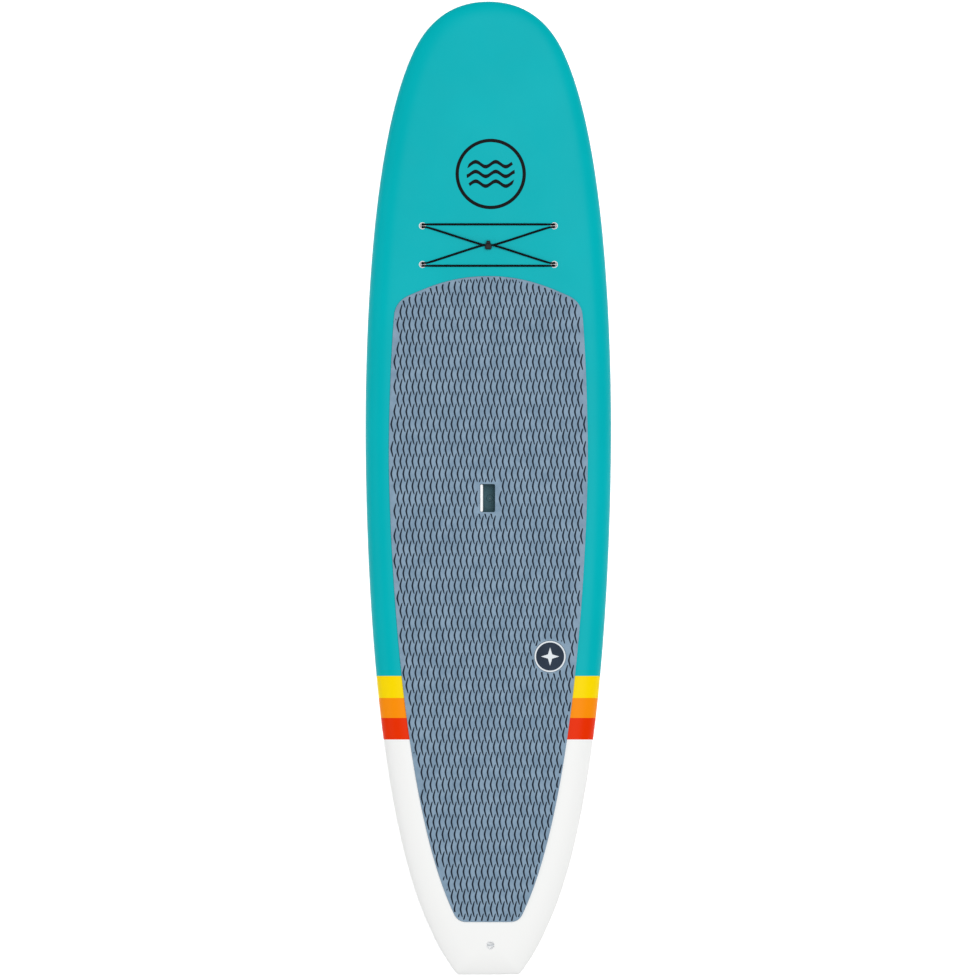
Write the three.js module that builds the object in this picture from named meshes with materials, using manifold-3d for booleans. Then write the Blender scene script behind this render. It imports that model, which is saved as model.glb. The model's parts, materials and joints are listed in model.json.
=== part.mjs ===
// A rigid stand up paddleboard, 3.2 m (10 ft 6 in) long, lying with its deck up.
//
// Millimetres, +Z up out of the deck, +Y towards the nose, +X to starboard. The origin is on the
// flat of the hull, on the centreline at mid-length.
//
// Inside a laminate shell are two foam halves with a wooden stringer between them. A foam deck
// pad, a hand hold with an air vent in its floor, a leash plug, a cargo bungee with a sprung cord
// lock, a long fin box with a sliding centre fin, and two side fins complete it.
import * as THREE from "three";
import { mergeVertices } from "three/addons/utils/BufferGeometryUtils.js";
import Module from "manifold-3d";

const wasm = await Module();
wasm.setup();

// ---- Driving dimensions ----
const LENGTH = 3200;
const WIDTH = 808;
const THICKNESS = 115;
const SKIN = 3; // laminate: glass, veneer, glass
const GAP = 0.3; // clearance between neighbouring pieces
const GLUE = 0.8; // bond line between foam and laminate
const PAD = 5; // deck pad
const CORD = 6; // bungee diameter

const HALF_LENGTH = LENGTH / 2;
const HALF_WIDTH = WIDTH / 2;

// The keel and the thickness are level amidships. Past `from`, both follow a power curve out to
// the end of the board, where it has reached `rise`.
const NOSE_ROCKER = { from: 300, rise: 120, power: 2.6 };
const TAIL_ROCKER = { from: 500, rise: 50, power: 2.2 };
const NOSE_THINNING = { from: 200, rise: 60, power: 2.2 };
const TAIL_THINNING = { from: 200, rise: 70, power: 2.5 };

const RAIL_SPLIT = 0.42; // height of the widest line, as a share of the thickness
const RAIL_TOP = 75; // width of the rounding above that line
const RAIL_BOTTOM = 80; // and below it
const RAIL_FULLNESS = 2.2; // exponent of the rounding: 2 is an ellipse, more is boxier
const DOME = 10; // extra height of the deck's centreline over its edges
const SPINE_BEND = 1400; // the spine keeps level with the rail out to here
const SPINE_LAG = 0.36; // and further out it goes this far for each millimetre of the rail's
const RAIL_STEPS = 4;
const DECK_STEPS = 2;

const STRINGER = 8;

// ---- Colours and finishes ----
const finish = (color, roughness, metalness = 0) =>
  new THREE.MeshStandardMaterial({ color, roughness, metalness });
const TEAL = finish(0x00b4bb, 0.3);
const FOAM = finish(0xf2f2ee, 0.9);
const WOOD = finish(0xb98a55, 0.7);
const PAD_FOAM = finish(0x6a8296, 0.9);
const NAVY_FOAM = finish(0x2e3d4e, 0.9);
const SLATE_PLASTIC = finish(0x304851, 0.5);
const WHITE_PLASTIC = finish(0xf0f4f4, 0.4);
const BLACK_PLASTIC = finish(0x151515, 0.45);
const BLACK_CORD = finish(0x101010, 0.85);
const BLACK_RUBBER = finish(0x1a1a1a, 0.8);
const STEEL = finish(0xb8bcc0, 0.3, 1);
const BRASS = finish(0xc9a24a, 0.35, 1);
const MEMBRANE = finish(0xe8e8e0, 0.8);

// ---- Solids ----

// A closed geometry as a solid that can be cut and joined.
function solidOf(geometry) {
  const bare = geometry.clone();
  bare.deleteAttribute("normal");
  bare.deleteAttribute("uv");
  const merged = mergeVertices(bare, 1e-3);
  const mesh = new wasm.Mesh({
    numProp: 3,
    vertProperties: Float32Array.from(merged.attributes.position.array),
    triVerts: Uint32Array.from(merged.index.array),
  });
  return new wasm.Manifold(mesh);
}

function geometryOf(solid) {
  const mesh = solid.getMesh();
  const geometry = new THREE.BufferGeometry();
  geometry.setAttribute("position", new THREE.BufferAttribute(mesh.vertProperties, 3));
  geometry.setIndex(new THREE.BufferAttribute(mesh.triVerts, 1));
  geometry.computeVertexNormals();
  return geometry;
}

// The first geometry with the others cut out of it.
function cut(geometry, ...cutters) {
  return geometryOf(cutters.reduce((left, cutter) => left.subtract(solidOf(cutter)), solidOf(geometry)));
}

function join(...geometries) {
  return geometryOf(geometries.map(solidOf).reduce((whole, piece) => whole.add(piece)));
}

function common(first, second) {
  return geometryOf(solidOf(first).intersect(solidOf(second)));
}

// A box from its lowest corner to its highest.
function box([x0, y0, z0], [x1, y1, z1]) {
  const geometry = new THREE.BoxGeometry(x1 - x0, y1 - y0, z1 - z0);
  return geometry.translate((x0 + x1) / 2, (y0 + y1) / 2, (z0 + z1) / 2);
}

// A box with rounded upright edges, centred on the Z axis.
function block(width, length, z0, z1, radius, cornerSteps = 2) {
  const [w, l] = [width / 2, length / 2];
  const shape = new THREE.Shape();
  shape.absarc(w - radius, l - radius, radius, 0, Math.PI / 2);
  shape.absarc(radius - w, l - radius, radius, Math.PI / 2, Math.PI);
  shape.absarc(radius - w, radius - l, radius, Math.PI, 1.5 * Math.PI);
  shape.absarc(w - radius, radius - l, radius, 1.5 * Math.PI, 2 * Math.PI);
  return slab(shape, z0, z1, cornerSteps);
}

function slab(shape, z0, z1, curveSegments) {
  const settings = { depth: z1 - z0, bevelEnabled: false, curveSegments };
  return new THREE.ExtrudeGeometry(shape, settings).translate(0, 0, z0);
}

// An upright cylinder, and one that lies along X, between two stations on its axis.
function post(radius, z0, z1, sides = 16) {
  const geometry = new THREE.CylinderGeometry(radius, radius, z1 - z0, sides);
  return geometry.rotateX(Math.PI / 2).translate(0, 0, (z0 + z1) / 2);
}

const pinAlongX = (radius, x0, x1, sides = 12) => post(radius, x0, x1, sides).rotateY(Math.PI / 2);

// A solid of revolution about Z from its (radius, height) corners.
function turned(corners, sides = 16) {
  const points = corners.map(([radius, height]) => new THREE.Vector2(radius, height));
  return new THREE.LatheGeometry(points, sides).rotateX(Math.PI / 2);
}

// ---- The board's surfaces ----

const plan = (across, along) => new THREE.Vector2(across * HALF_WIDTH, along * HALF_LENGTH);

// The starboard half of the outline, from the nose round to the middle of the tail, with the
// number of steps that each stretch takes.
const cubic = (...points) => new THREE.CubicBezierCurve(...points);
const OUTLINE = [
  [cubic(plan(0, 1), plan(0.4, 1), plan(0.559, 0.926), plan(0.626, 0.8875)), 6],
  [cubic(plan(0.626, 0.8875), plan(0.96, 0.6975), plan(1, 0.301), plan(1, 0.123)), 6],
  [cubic(plan(1, 0.123), plan(1, -0.05), plan(0.963, -0.6425), plan(0.483, -0.9)), 8],
  [cubic(plan(0.483, -0.9), plan(0.448, -0.919), plan(0.4, -0.95), plan(0.267, -0.995)), 3],
  [new THREE.QuadraticBezierCurve(plan(0.267, -0.995), plan(0.252, -1), plan(0.223, -1)), 2],
  [new THREE.LineCurve(plan(0.223, -1), plan(0, -1)), 2],
];

// The points of a chain of curves, each junction once.
function pointsAlong(stretches) {
  const points = stretches.flatMap(([curve, steps]) => curve.getPoints(steps).slice(0, -1));
  const [lastCurve] = stretches.at(-1);
  return [...points, lastCurve.getPoint(1)];
}

// Spokes run in from the outline to the spine. A spoke is its two ends, in plan.
const SPOKES = pointsAlong(OUTLINE).map((rail) => {
  const beyond = Math.max(0, Math.abs(rail.y) - SPINE_BEND);
  const y = rail.y - Math.sign(rail.y) * beyond * (1 - SPINE_LAG);
  return { rail, spine: new THREE.Vector2(0, y) };
});

function riseAt(distance, { from, rise, power }) {
  const share = Math.max(0, (distance - from) / (HALF_LENGTH - from));
  return rise * share ** power;
}

const keelHeight = (y) => riseAt(y, NOSE_ROCKER) + riseAt(-y, TAIL_ROCKER);
const thicknessAt = (y) => THICKNESS - riseAt(y, NOSE_THINNING) - riseAt(-y, TAIL_THINNING);
const railHeight = (y) => keelHeight(y) + RAIL_SPLIT * thicknessAt(y);

// How much of the rail's rounding has been climbed at a share of its width, from 0 to 1.
function rounding(share) {
  const left = 1 - Math.min(share, 1);
  return (1 - left ** RAIL_FULLNESS) ** (1 / RAIL_FULLNESS);
}

// A point of the deck (side 1) or hull (side -1), `inset` in from the rail along a spoke, on the
// surface that lies `depth` under the outside.
function surfacePoint({ rail, spine }, side, inset, depth) {
  const reach = rail.distanceTo(spine);
  const { x, y } = rail.clone().lerp(spine, (depth + inset) / reach);
  const width = (side > 0 ? RAIL_TOP : RAIL_BOTTOM) - depth;
  const climbed = rounding(inset / width);
  if (side < 0) {
    return new THREE.Vector3(x, y, railHeight(y) - (RAIL_SPLIT * thicknessAt(y) - depth) * climbed);
  }
  const shoulder = (1 - RAIL_SPLIT) * thicknessAt(y) - DOME - GAP - depth;
  const fromSpine = 1 - inset / (reach - depth);
  const crown = DOME * (1 - fromSpine ** 2);
  return new THREE.Vector3(x, y, railHeight(y) + GAP + shoulder * climbed + crown);
}

// The insets of a spoke's points: close together round the rail, then wide apart.
function insetsOf({ rail, spine }, side, depth) {
  const width = (side > 0 ? RAIL_TOP : RAIL_BOTTOM) - depth;
  const reach = rail.distanceTo(spine) - depth;
  const insets = [];
  for (let step = 0; step <= RAIL_STEPS; step++) {
    const angle = (Math.PI / 2) * (step / RAIL_STEPS);
    insets.push(width * (1 - Math.cos(angle) ** (2 / RAIL_FULLNESS)));
  }
  const further = side > 0 ? DECK_STEPS : 1;
  for (let step = 1; step <= further; step++) {
    insets.push(width + (reach - width) * (step / further));
  }
  return insets;
}

// A surface as rows of points from the nose to the tail, each from port to starboard.
function surface(side, depth) {
  return SPOKES.map((spoke) => {
    const starboard = insetsOf(spoke, side, depth).map((inset) => surfacePoint(spoke, side, inset, depth));
    const port = starboard.slice(0, -1).map(({ x, y, z }) => new THREE.Vector3(-x, y, z));
    return [...port, ...starboard.reverse()];
  });
}

// The solid between two surfaces, closed round their edges.
function between(upper, lower) {
  const corners = [];
  const face = (a, b, c) => {
    if (a.distanceTo(b) > GAP / 10 && b.distanceTo(c) > GAP / 10 && c.distanceTo(a) > GAP / 10) {
      corners.push(a, b, c);
    }
  };
  const quad = (a, b, c, d) => {
    face(a, b, c);
    face(a, c, d);
  };
  // Each quad is split from its outer corner on the nose side, so port mirrors starboard.
  for (const [rows, up] of [[upper, true], [lower, false]]) {
    for (let i = 0; i + 1 < rows.length; i++) {
      const spine = (rows[i].length - 1) / 2;
      for (let j = 0; j < 2 * spine; j++) {
        const [a, b, c, d] = [rows[i][j], rows[i + 1][j], rows[i + 1][j + 1], rows[i][j + 1]];
        const around = j < spine ? [a, b, c, d] : [b, c, d, a];
        quad(...(up ? around : [around[0], around[3], around[2], around[1]]));
      }
    }
  }
  for (let i = 0; i + 1 < upper.length; i++) {
    quad(upper[i].at(-1), upper[i + 1].at(-1), lower[i + 1].at(-1), lower[i].at(-1));
    quad(lower[i][0], lower[i + 1][0], upper[i + 1][0], upper[i][0]);
  }
  return new THREE.BufferGeometry().setFromPoints(corners);
}

// ---- Assembly ----

const board = new THREE.Group();

function add(name, geometry, material, parent = board) {
  const mesh = new THREE.Mesh(geometry, material);
  mesh.name = name;
  parent.add(mesh);
}

// A frame for fittings, with its own Z along `up` and its Y as near to the board's as that allows.
function seat(position, up = new THREE.Vector3(0, 0, 1), turn = 0) {
  const group = new THREE.Group();
  const across = new THREE.Vector3(0, 1, 0).cross(up).normalize();
  const along = up.clone().cross(across);
  group.quaternion.setFromRotationMatrix(new THREE.Matrix4().makeBasis(across, along, up));
  group.rotateZ(turn);
  group.position.copy(position);
  board.add(group);
  group.updateMatrixWorld();
  return group;
}

const placed = (geometry, group) => geometry.clone().applyMatrix4(group.matrixWorld);

// The whole board, as far in as `depth` under its outside.
const bodyAt = (depth) => between(surface(1, depth), surface(-1, depth));
const outside = bodyAt(0);
const PROBE_HEIGHT = 1000;

// The point of the deck (side 1) or hull (side -1) over x, y, and the way the surface faces.
function skinAt(x, y, side) {
  const start = new THREE.Vector3(x, y, side * PROBE_HEIGHT);
  const ray = new THREE.Raycaster(start, new THREE.Vector3(0, 0, -side));
  const [{ point, face }] = ray.intersectObject(new THREE.Mesh(outside));
  return { point, normal: face.normal };
}

const deckSeat = (x, y) => {
  const { point, normal } = skinAt(x, y, 1);
  return seat(point, normal);
};

// Fittings leave what they need cut from the shell and from the foam.
const shellCutters = [];
const foamCutters = [];

// ---- Hand hold, with an air vent in its floor ----

const PAD_MARGIN = 0.5; // between the pad and the hand hold's opening
const HAND_X = -3;
const HAND_Y = -33;
const HAND_WIDTH = 49;
const HAND_LENGTH = 91;
const HAND_DEPTH = 55;
const HAND_WALL = 3;
const HAND_FLANGE = 7; // how far the flange spreads round the opening
const HAND_RADIUS = 5;
const LIP_DEPTH = 16; // from the deck to the space under the grip
const LIP_REACH = 24; // how far that space runs under the deck, to port
const GRIP_WIDTH = 9.6;
const GRIP_RADIUS = 4.75;

// Returns the opening that the deck pad needs over it.
function addHandHold() {
  const hold = seat(skinAt(HAND_X, HAND_Y, 1).point.sub(new THREE.Vector3(0, 0, GAP / 2)));
  const portSide = -HAND_WIDTH / 2;
  const bottom = -HAND_DEPTH;
  const halfLength = HAND_LENGTH / 2;

  const floor = bottom + HAND_WALL;
  const hollow = block(HAND_WIDTH, HAND_LENGTH, floor, 1, HAND_RADIUS);
  const underLip = box([portSide - LIP_REACH, -halfLength, floor], [0, halfLength, -LIP_DEPTH]);
  const grown = (spread, lowest) => [
    block(HAND_WIDTH + 2 * spread, HAND_LENGTH + 2 * spread, lowest, -SKIN, HAND_RADIUS + spread),
    box(
      [portSide - LIP_REACH - spread, -halfLength - spread, lowest],
      [0, halfLength + spread, spread - LIP_DEPTH],
    ),
  ];
  const flange = (spread) =>
    block(HAND_WIDTH + 2 * spread, HAND_LENGTH + 2 * spread, -SKIN - GAP, 0, HAND_RADIUS + spread);
  const shell = join(...grown(HAND_WALL, bottom), flange(HAND_FLANGE));
  const breather = post(BREATHER_RADIUS, bottom - 1, 0).translate(VENT_X, 0, 0);
  add("handle_cup", cut(shell, hollow, underLip, breather), SLATE_PLASTIC, hold);
  addVent(hold, floor);

  const grip = block(GRIP_WIDTH, HAND_LENGTH - 2 * GAP, GAP - LIP_DEPTH, PAD - 1, GRIP_RADIUS);
  grip.translate(portSide + GAP + GRIP_WIDTH / 2, 0, 0);
  add("handle_grip", grip, WHITE_PLASTIC, hold);

  const pocket = grown(HAND_WALL + GLUE, bottom - GLUE);
  foamCutters.push(...pocket.map((geometry) => placed(geometry, hold)));
  const flangeHole = block(
    HAND_WIDTH + 2 * (HAND_FLANGE + GAP),
    HAND_LENGTH + 2 * (HAND_FLANGE + GAP),
    -SKIN - 1,
    1,
    HAND_RADIUS + HAND_FLANGE,
  );
  shellCutters.push(placed(flangeHole, hold));
  const [opening, openingLength] = [HAND_WIDTH + 2 * PAD_MARGIN, HAND_LENGTH + 2 * PAD_MARGIN];
  return placed(block(opening, openingLength, -1, PAD + 2, HAND_RADIUS), hold);
}

const VENT_X = 8; // from the middle of the hand hold
const VENT_RADIUS = 11;
const VENT_HEIGHT = 3; // without its cap
const BREATHER_RADIUS = 1.7; // hole through the cup's floor, down to the foam

function addVent(hold, floor) {
  const vent = new THREE.Group();
  vent.position.set(VENT_X, 0, floor);
  hold.add(vent);
  const [bore, ledge, counterbore, top] = [1.5, 1, 5, VENT_HEIGHT];
  const [grooveIn, grooveOut, grooveFloor] = [7, 9, 1.5];
  const ringRadius = 0.7;
  const body = turned([
    [bore, GAP],
    [VENT_RADIUS, GAP],
    [VENT_RADIUS, top],
    [grooveOut, top],
    [grooveOut, grooveFloor],
    [grooveIn, grooveFloor],
    [grooveIn, top],
    [counterbore, top],
    [counterbore, ledge],
    [bore, ledge],
    [bore, GAP],
  ]);
  add("vent_body", body, SLATE_PLASTIC, vent);
  add("vent_membrane", post(counterbore - GAP, ledge + GAP, 2), MEMBRANE, vent);
  const ring = new THREE.TorusGeometry((grooveIn + grooveOut) / 2, ringRadius, 6, 16);
  add("vent_o_ring", ring.translate(0, 0, grooveFloor + ringRadius + GAP), BLACK_RUBBER, vent);
  const disc = post(VENT_RADIUS - 0.5, top + GAP, top + 2.8);
  const coinSlot = box([-7, -1, top + 1.6], [7, 1, top + 4]);
  const airHole = post(1.2, top, top + 4, 10);
  add("vent_cap", cut(disc, coinSlot, airHole), SLATE_PLASTIC, vent);
}

// ---- Cups let into the deck with a bar across: the leash plug and the bungee inserts ----

const CUP_WALL = 0.8; // left outside the ends of the bar's hole
const CUP_FLARE = 4; // depth of the tapered mouth

// A cup has a flange flush with the deck, a flared mouth, and a blind hole for the bar's ends.
function cupGeometry({ flange, body, mouth, hole, depth, floor, bar, barHeight }) {
  const cup = turned([
    [0, -depth],
    [body, -depth],
    [body, -SKIN - GAP],
    [flange, -SKIN - GAP],
    [flange, 0],
    [mouth, 0],
    [hole, -CUP_FLARE],
    [hole, floor - depth],
    [0, floor - depth],
  ]);
  const holeEnd = body - CUP_WALL;
  return cut(cup, pinAlongX(bar + GAP / 2, -holeEnd, holeEnd).translate(0, 0, barHeight));
}

function addCup(name, barName, x, y, cup) {
  const spot = deckSeat(x, y);
  add(name, cupGeometry(cup), WHITE_PLASTIC, spot);
  const barEnd = cup.body - CUP_WALL - GAP;
  add(barName, pinAlongX(cup.bar, -barEnd, barEnd).translate(0, 0, cup.barHeight), STEEL, spot);
  shellCutters.push(placed(post(cup.flange + GAP, -SKIN - 2, 2), spot));
  foamCutters.push(placed(post(cup.body + GLUE, -cup.depth - GLUE, 2), spot));
  return spot;
}

const LEASH_X = 7;
const LEASH_Y = -1504;
const LEASH_CUP = {
  flange: 13.5,
  body: 12.4,
  mouth: 11.4,
  hole: 10.2,
  depth: 22,
  floor: 2,
  bar: 2,
  barHeight: -5,
};

const INSERT_X = 217;
const INSERT_AFT_Y = 735.4;
const INSERT_FORE_Y = 862.5;
const INSERT_CUP = {
  flange: 11.4,
  body: 9.6,
  mouth: 9.8,
  hole: 8,
  depth: 16,
  floor: 2,
  bar: 1.25,
  barHeight: -4.5,
};

// ---- Cord lock ----

const LOCK_Y = (INSERT_AFT_Y + INSERT_FORE_Y) / 2;
const LOCK_WIDTH = 22;
const LOCK_BACK = -14.5;
const LOCK_FRONT = 6.5;
const LOCK_HEIGHT = 17;
const LOCK_WALL = 1.4; // over and under the button
const LOCK_HOLES = [4.8, 12.2]; // heights of the two cords that pass through
const CORD_HOLE = CORD / 2 + 0.4;
const BUTTON_TRAVEL = 4;
const BUTTON_WIDTH = 13;
const BUTTON_BACK = -5.5;
const BUTTON_FRONT = 14.5;
const BORE_BACK = -12.8;
const SPRING_RADIUS = 3.8;
const SPRING_WIRE = 0.4;
const SPRING_TURNS = 3.5;
const STEPS_PER_TURN = 8;

function addCordLock() {
  const lock = seat(skinAt(0, LOCK_Y, 1).point.add(new THREE.Vector3(0, 0, GAP)));
  const boreLow = LOCK_WALL;
  const boreHigh = LOCK_HEIGHT - LOCK_WALL;
  const middle = (boreLow + boreHigh) / 2;
  const cordHoles = (slack) =>
    LOCK_HOLES.flatMap((height) => {
      const hole = pinAlongX(CORD_HOLE, -LOCK_WIDTH, LOCK_WIDTH).translate(0, 0, height);
      const far = hole.clone().translate(0, slack, 0);
      const middleBox = box(
        [-LOCK_WIDTH, 0, height - CORD_HOLE],
        [LOCK_WIDTH, slack, height + CORD_HOLE],
      );
      return slack ? [hole, far, middleBox] : [hole];
    });

  const body = block(LOCK_WIDTH, LOCK_FRONT - LOCK_BACK, 0, LOCK_HEIGHT, 6);
  body.translate(0, (LOCK_FRONT + LOCK_BACK) / 2, 0);
  const bore = box(
    [-BUTTON_WIDTH / 2 - GAP, BORE_BACK, boreLow],
    [BUTTON_WIDTH / 2 + GAP, LOCK_FRONT + 1, boreHigh],
  );
  add("cord_lock_body", cut(body, bore, ...cordHoles(0)), BLACK_PLASTIC, lock);

  const button = block(BUTTON_WIDTH, BUTTON_FRONT - BUTTON_BACK, boreLow + GAP, boreHigh - GAP, 3);
  button.translate(0, (BUTTON_FRONT + BUTTON_BACK) / 2, 0);
  add("cord_lock_button", cut(button, ...cordHoles(BUTTON_TRAVEL)), BLACK_PLASTIC, lock);

  const start = BORE_BACK + SPRING_WIRE + GAP;
  const end = BUTTON_BACK - SPRING_WIRE - GAP;
  add("cord_lock_spring", tube(helixAlongY(start, end, middle), SPRING_WIRE, 6), STEEL, lock);
}

function helixAlongY(start, end, height) {
  const stations = [];
  const steps = SPRING_TURNS * STEPS_PER_TURN;
  for (let step = 0; step <= steps; step++) {
    const angle = (2 * Math.PI * step) / STEPS_PER_TURN;
    const [x, z] = [SPRING_RADIUS * Math.cos(angle), SPRING_RADIUS * Math.sin(angle)];
    stations.push(new THREE.Vector3(x, start + (end - start) * (step / steps), height + z));
  }
  return stations;
}

// A path for an extrusion that puts a ring of corners at each of its points.
class Route extends THREE.Curve {
  constructor(points) {
    super();
    this.points = points;
  }

  getSpacedPoints() {
    return this.points;
  }

  getTangentAt(share, target = new THREE.Vector3()) {
    const last = this.points.length - 1;
    const here = Math.round(share * last);
    const before = this.points[Math.max(here - 1, 0)];
    const after = this.points[Math.min(here + 1, last)];
    return target.subVectors(after, before).normalize();
  }
}

// A round tube from point to point.
function tube(points, radius, sides) {
  const section = new THREE.Shape();
  section.absarc(0, 0, radius, 0, 2 * Math.PI);
  const settings = {
    steps: points.length - 1,
    extrudePath: new Route(points),
    curveSegments: sides / 2,
    bevelEnabled: false,
  };
  return new THREE.ExtrudeGeometry(section, settings);
}

// ---- Bungee ----

const CORD_LIFT = CORD / 2 + 0.5; // height of the cord's axis where it lies on the deck
const WRAP_RADIUS = 4.6; // round an insert's bar
const EXIT_RADIUS = 7; // where the cord bends out of an insert

// The cord dips under an insert's bar. It comes in over the inboard rim on the side `first` of the
// bar (1 towards the nose, -1 towards the tail) and leaves over that rim on the other side.
function underBar(spot, inboard, first) {
  const { barHeight } = INSERT_CUP;
  const bendFloor = CORD_LIFT - EXIT_RADIUS;
  const slant = EXIT_RADIUS * (1 - Math.SQRT1_2);
  const way = (sign) => [
    [inboard * 1.8 * EXIT_RADIUS, sign * WRAP_RADIUS, CORD_LIFT],
    [inboard * EXIT_RADIUS, sign * WRAP_RADIUS, CORD_LIFT],
    [inboard * slant, sign * WRAP_RADIUS, bendFloor + EXIT_RADIUS * Math.SQRT1_2],
    [0, sign * WRAP_RADIUS, bendFloor],
  ];
  const diagonal = WRAP_RADIUS * Math.SQRT1_2;
  const route = [
    ...way(first),
    [0, first * diagonal, barHeight - diagonal],
    [0, 0, barHeight - WRAP_RADIUS],
    [0, -first * diagonal, barHeight - diagonal],
    ...way(-first).reverse(),
  ];
  return route.map((point) => new THREE.Vector3(...point).applyMatrix4(spot.matrixWorld));
}

// A straight run that lies on the deck from port to starboard.
function acrossDeck(y) {
  return [-0.5, 0, 0.5].map((share) => {
    const x = share * INSERT_X;
    return new THREE.Vector3(x, y, skinAt(x, y, 1).point.z + CORD_LIFT);
  });
}

function addBungee({ forePort, foreStarboard, aftPort, aftStarboard }) {
  const base = skinAt(0, LOCK_Y, 1).point.z + GAP;
  const inLock = (x, height) => new THREE.Vector3(x, LOCK_Y, base + height);
  const [low, high] = LOCK_HOLES;
  const halfLock = LOCK_WIDTH / 2 + 2;
  const points = [
    inLock(-GAP, high),
    inLock(-halfLock / 2, high),
    inLock(-halfLock, high),
    ...underBar(forePort, 1, -1),
    ...acrossDeck(INSERT_FORE_Y + WRAP_RADIUS),
    ...underBar(foreStarboard, -1, 1),
    inLock(halfLock, low),
    inLock(0, low),
    inLock(-halfLock, low),
    ...underBar(aftPort, 1, 1),
    ...acrossDeck(INSERT_AFT_Y - WRAP_RADIUS),
    ...underBar(aftStarboard, -1, -1),
    inLock(halfLock, high),
    inLock(halfLock / 2, high),
    inLock(GAP, high),
  ];
  add("bungee_cord", tube(points, CORD / 2, 8), BLACK_CORD);
}

// ---- Fins ----

// A foil's side view in the Y-Z plane, from the front of its root round the tip to the back.
function foilShape({ root, height, rake, rootGap }) {
  const shape = new THREE.Shape();
  shape.moveTo(root / 2, -rootGap);
  shape.bezierCurveTo(
    0.36 * root, -0.35 * height, 0.5 * root - 0.55 * rake, -0.87 * height, 0.5 * root - rake, -height,
  );
  shape.quadraticCurveTo(0.42 * root - rake, -1.005 * height, 0.41 * root - rake, -0.965 * height);
  shape.bezierCurveTo(
    0.5 * root - rake, -0.75 * height, -0.4 * root, -0.3 * height, -0.48 * root, -rootGap,
  );
  return shape;
}

// A flat plate drawn in the Y-Z plane, centred on x = 0.
function plate(shape, thickness, curveSegments = 8) {
  const geometry = slab(shape, -thickness / 2, thickness / 2, curveSegments);
  return geometry.applyMatrix4(new THREE.Matrix4().makeBasis(
    new THREE.Vector3(0, 1, 0),
    new THREE.Vector3(0, 0, 1),
    new THREE.Vector3(1, 0, 0),
  ));
}

// Thins a blade towards its tip, to `tip` of its thickness.
function thinned(geometry, height, tip) {
  const place = geometry.attributes.position;
  for (let i = 0; i < place.count; i++) {
    const share = Math.max(0, -place.getZ(i) / height);
    place.setX(i, place.getX(i) * (1 - (1 - tip) * share));
  }
  return geometry;
}

const FIN_Y = -1300;
const BOX_SLOT = { width: 10, length: 254, depth: 24 };
const BOX_BODY = { width: 25, length: 266, depth: 28 };
const BOX_FLANGE = { width: 33, length: 276, radius: 12 };
const BOX_GROOVE = { width: 18, low: 12, high: 18 };
const FIN = { root: 172, height: 229, rake: 172, rootGap: 1.5, thickness: 9 };
const FIN_SHIFT = -12; // from the middle of the box to the middle of the fin's root
const FIN_TIP = 0.4; // thickness at the tip, as a share of that at the root
const TAB_TOP = 11; // the fin's tab ends here, under the groove
const TONGUE = 21; // length of the tab ahead of the blade, where the screw goes
const HEEL = 18; // length of the taller end of the tab, which carries the pin
const PIN_SETBACK = 20; // from the back of the blade
const PIN_RADIUS = 2;
const SCREW_HEAD = { radius: 4, height: 2.7 };
const NUT_PLATE = { width: 17, length: 12, thickness: 3 };

function addFinBox(hull) {
  const flange = block(BOX_FLANGE.width, BOX_FLANGE.length, 0, SKIN + GAP, BOX_FLANGE.radius);
  const body = block(BOX_BODY.width, BOX_BODY.length, SKIN, BOX_BODY.depth, 4);
  const slot = block(BOX_SLOT.width, BOX_SLOT.length, -1, BOX_SLOT.depth, 4.9);
  const groove = block(BOX_GROOVE.width, BOX_SLOT.length, BOX_GROOVE.low, BOX_GROOVE.high, 4.9);
  add("fin_box", cut(join(flange, body), slot, groove), BLACK_PLASTIC, hull);
  const flangeHole = block(BOX_FLANGE.width + 1, BOX_FLANGE.length + 1, -5, SKIN + 2, BOX_FLANGE.radius);
  shellCutters.push(placed(flangeHole, hull));
  const pocket = block(BOX_BODY.width + 1, BOX_BODY.length + 1, -5, BOX_BODY.depth + GLUE, 4);
  foamCutters.push(placed(pocket, hull));
}

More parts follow.
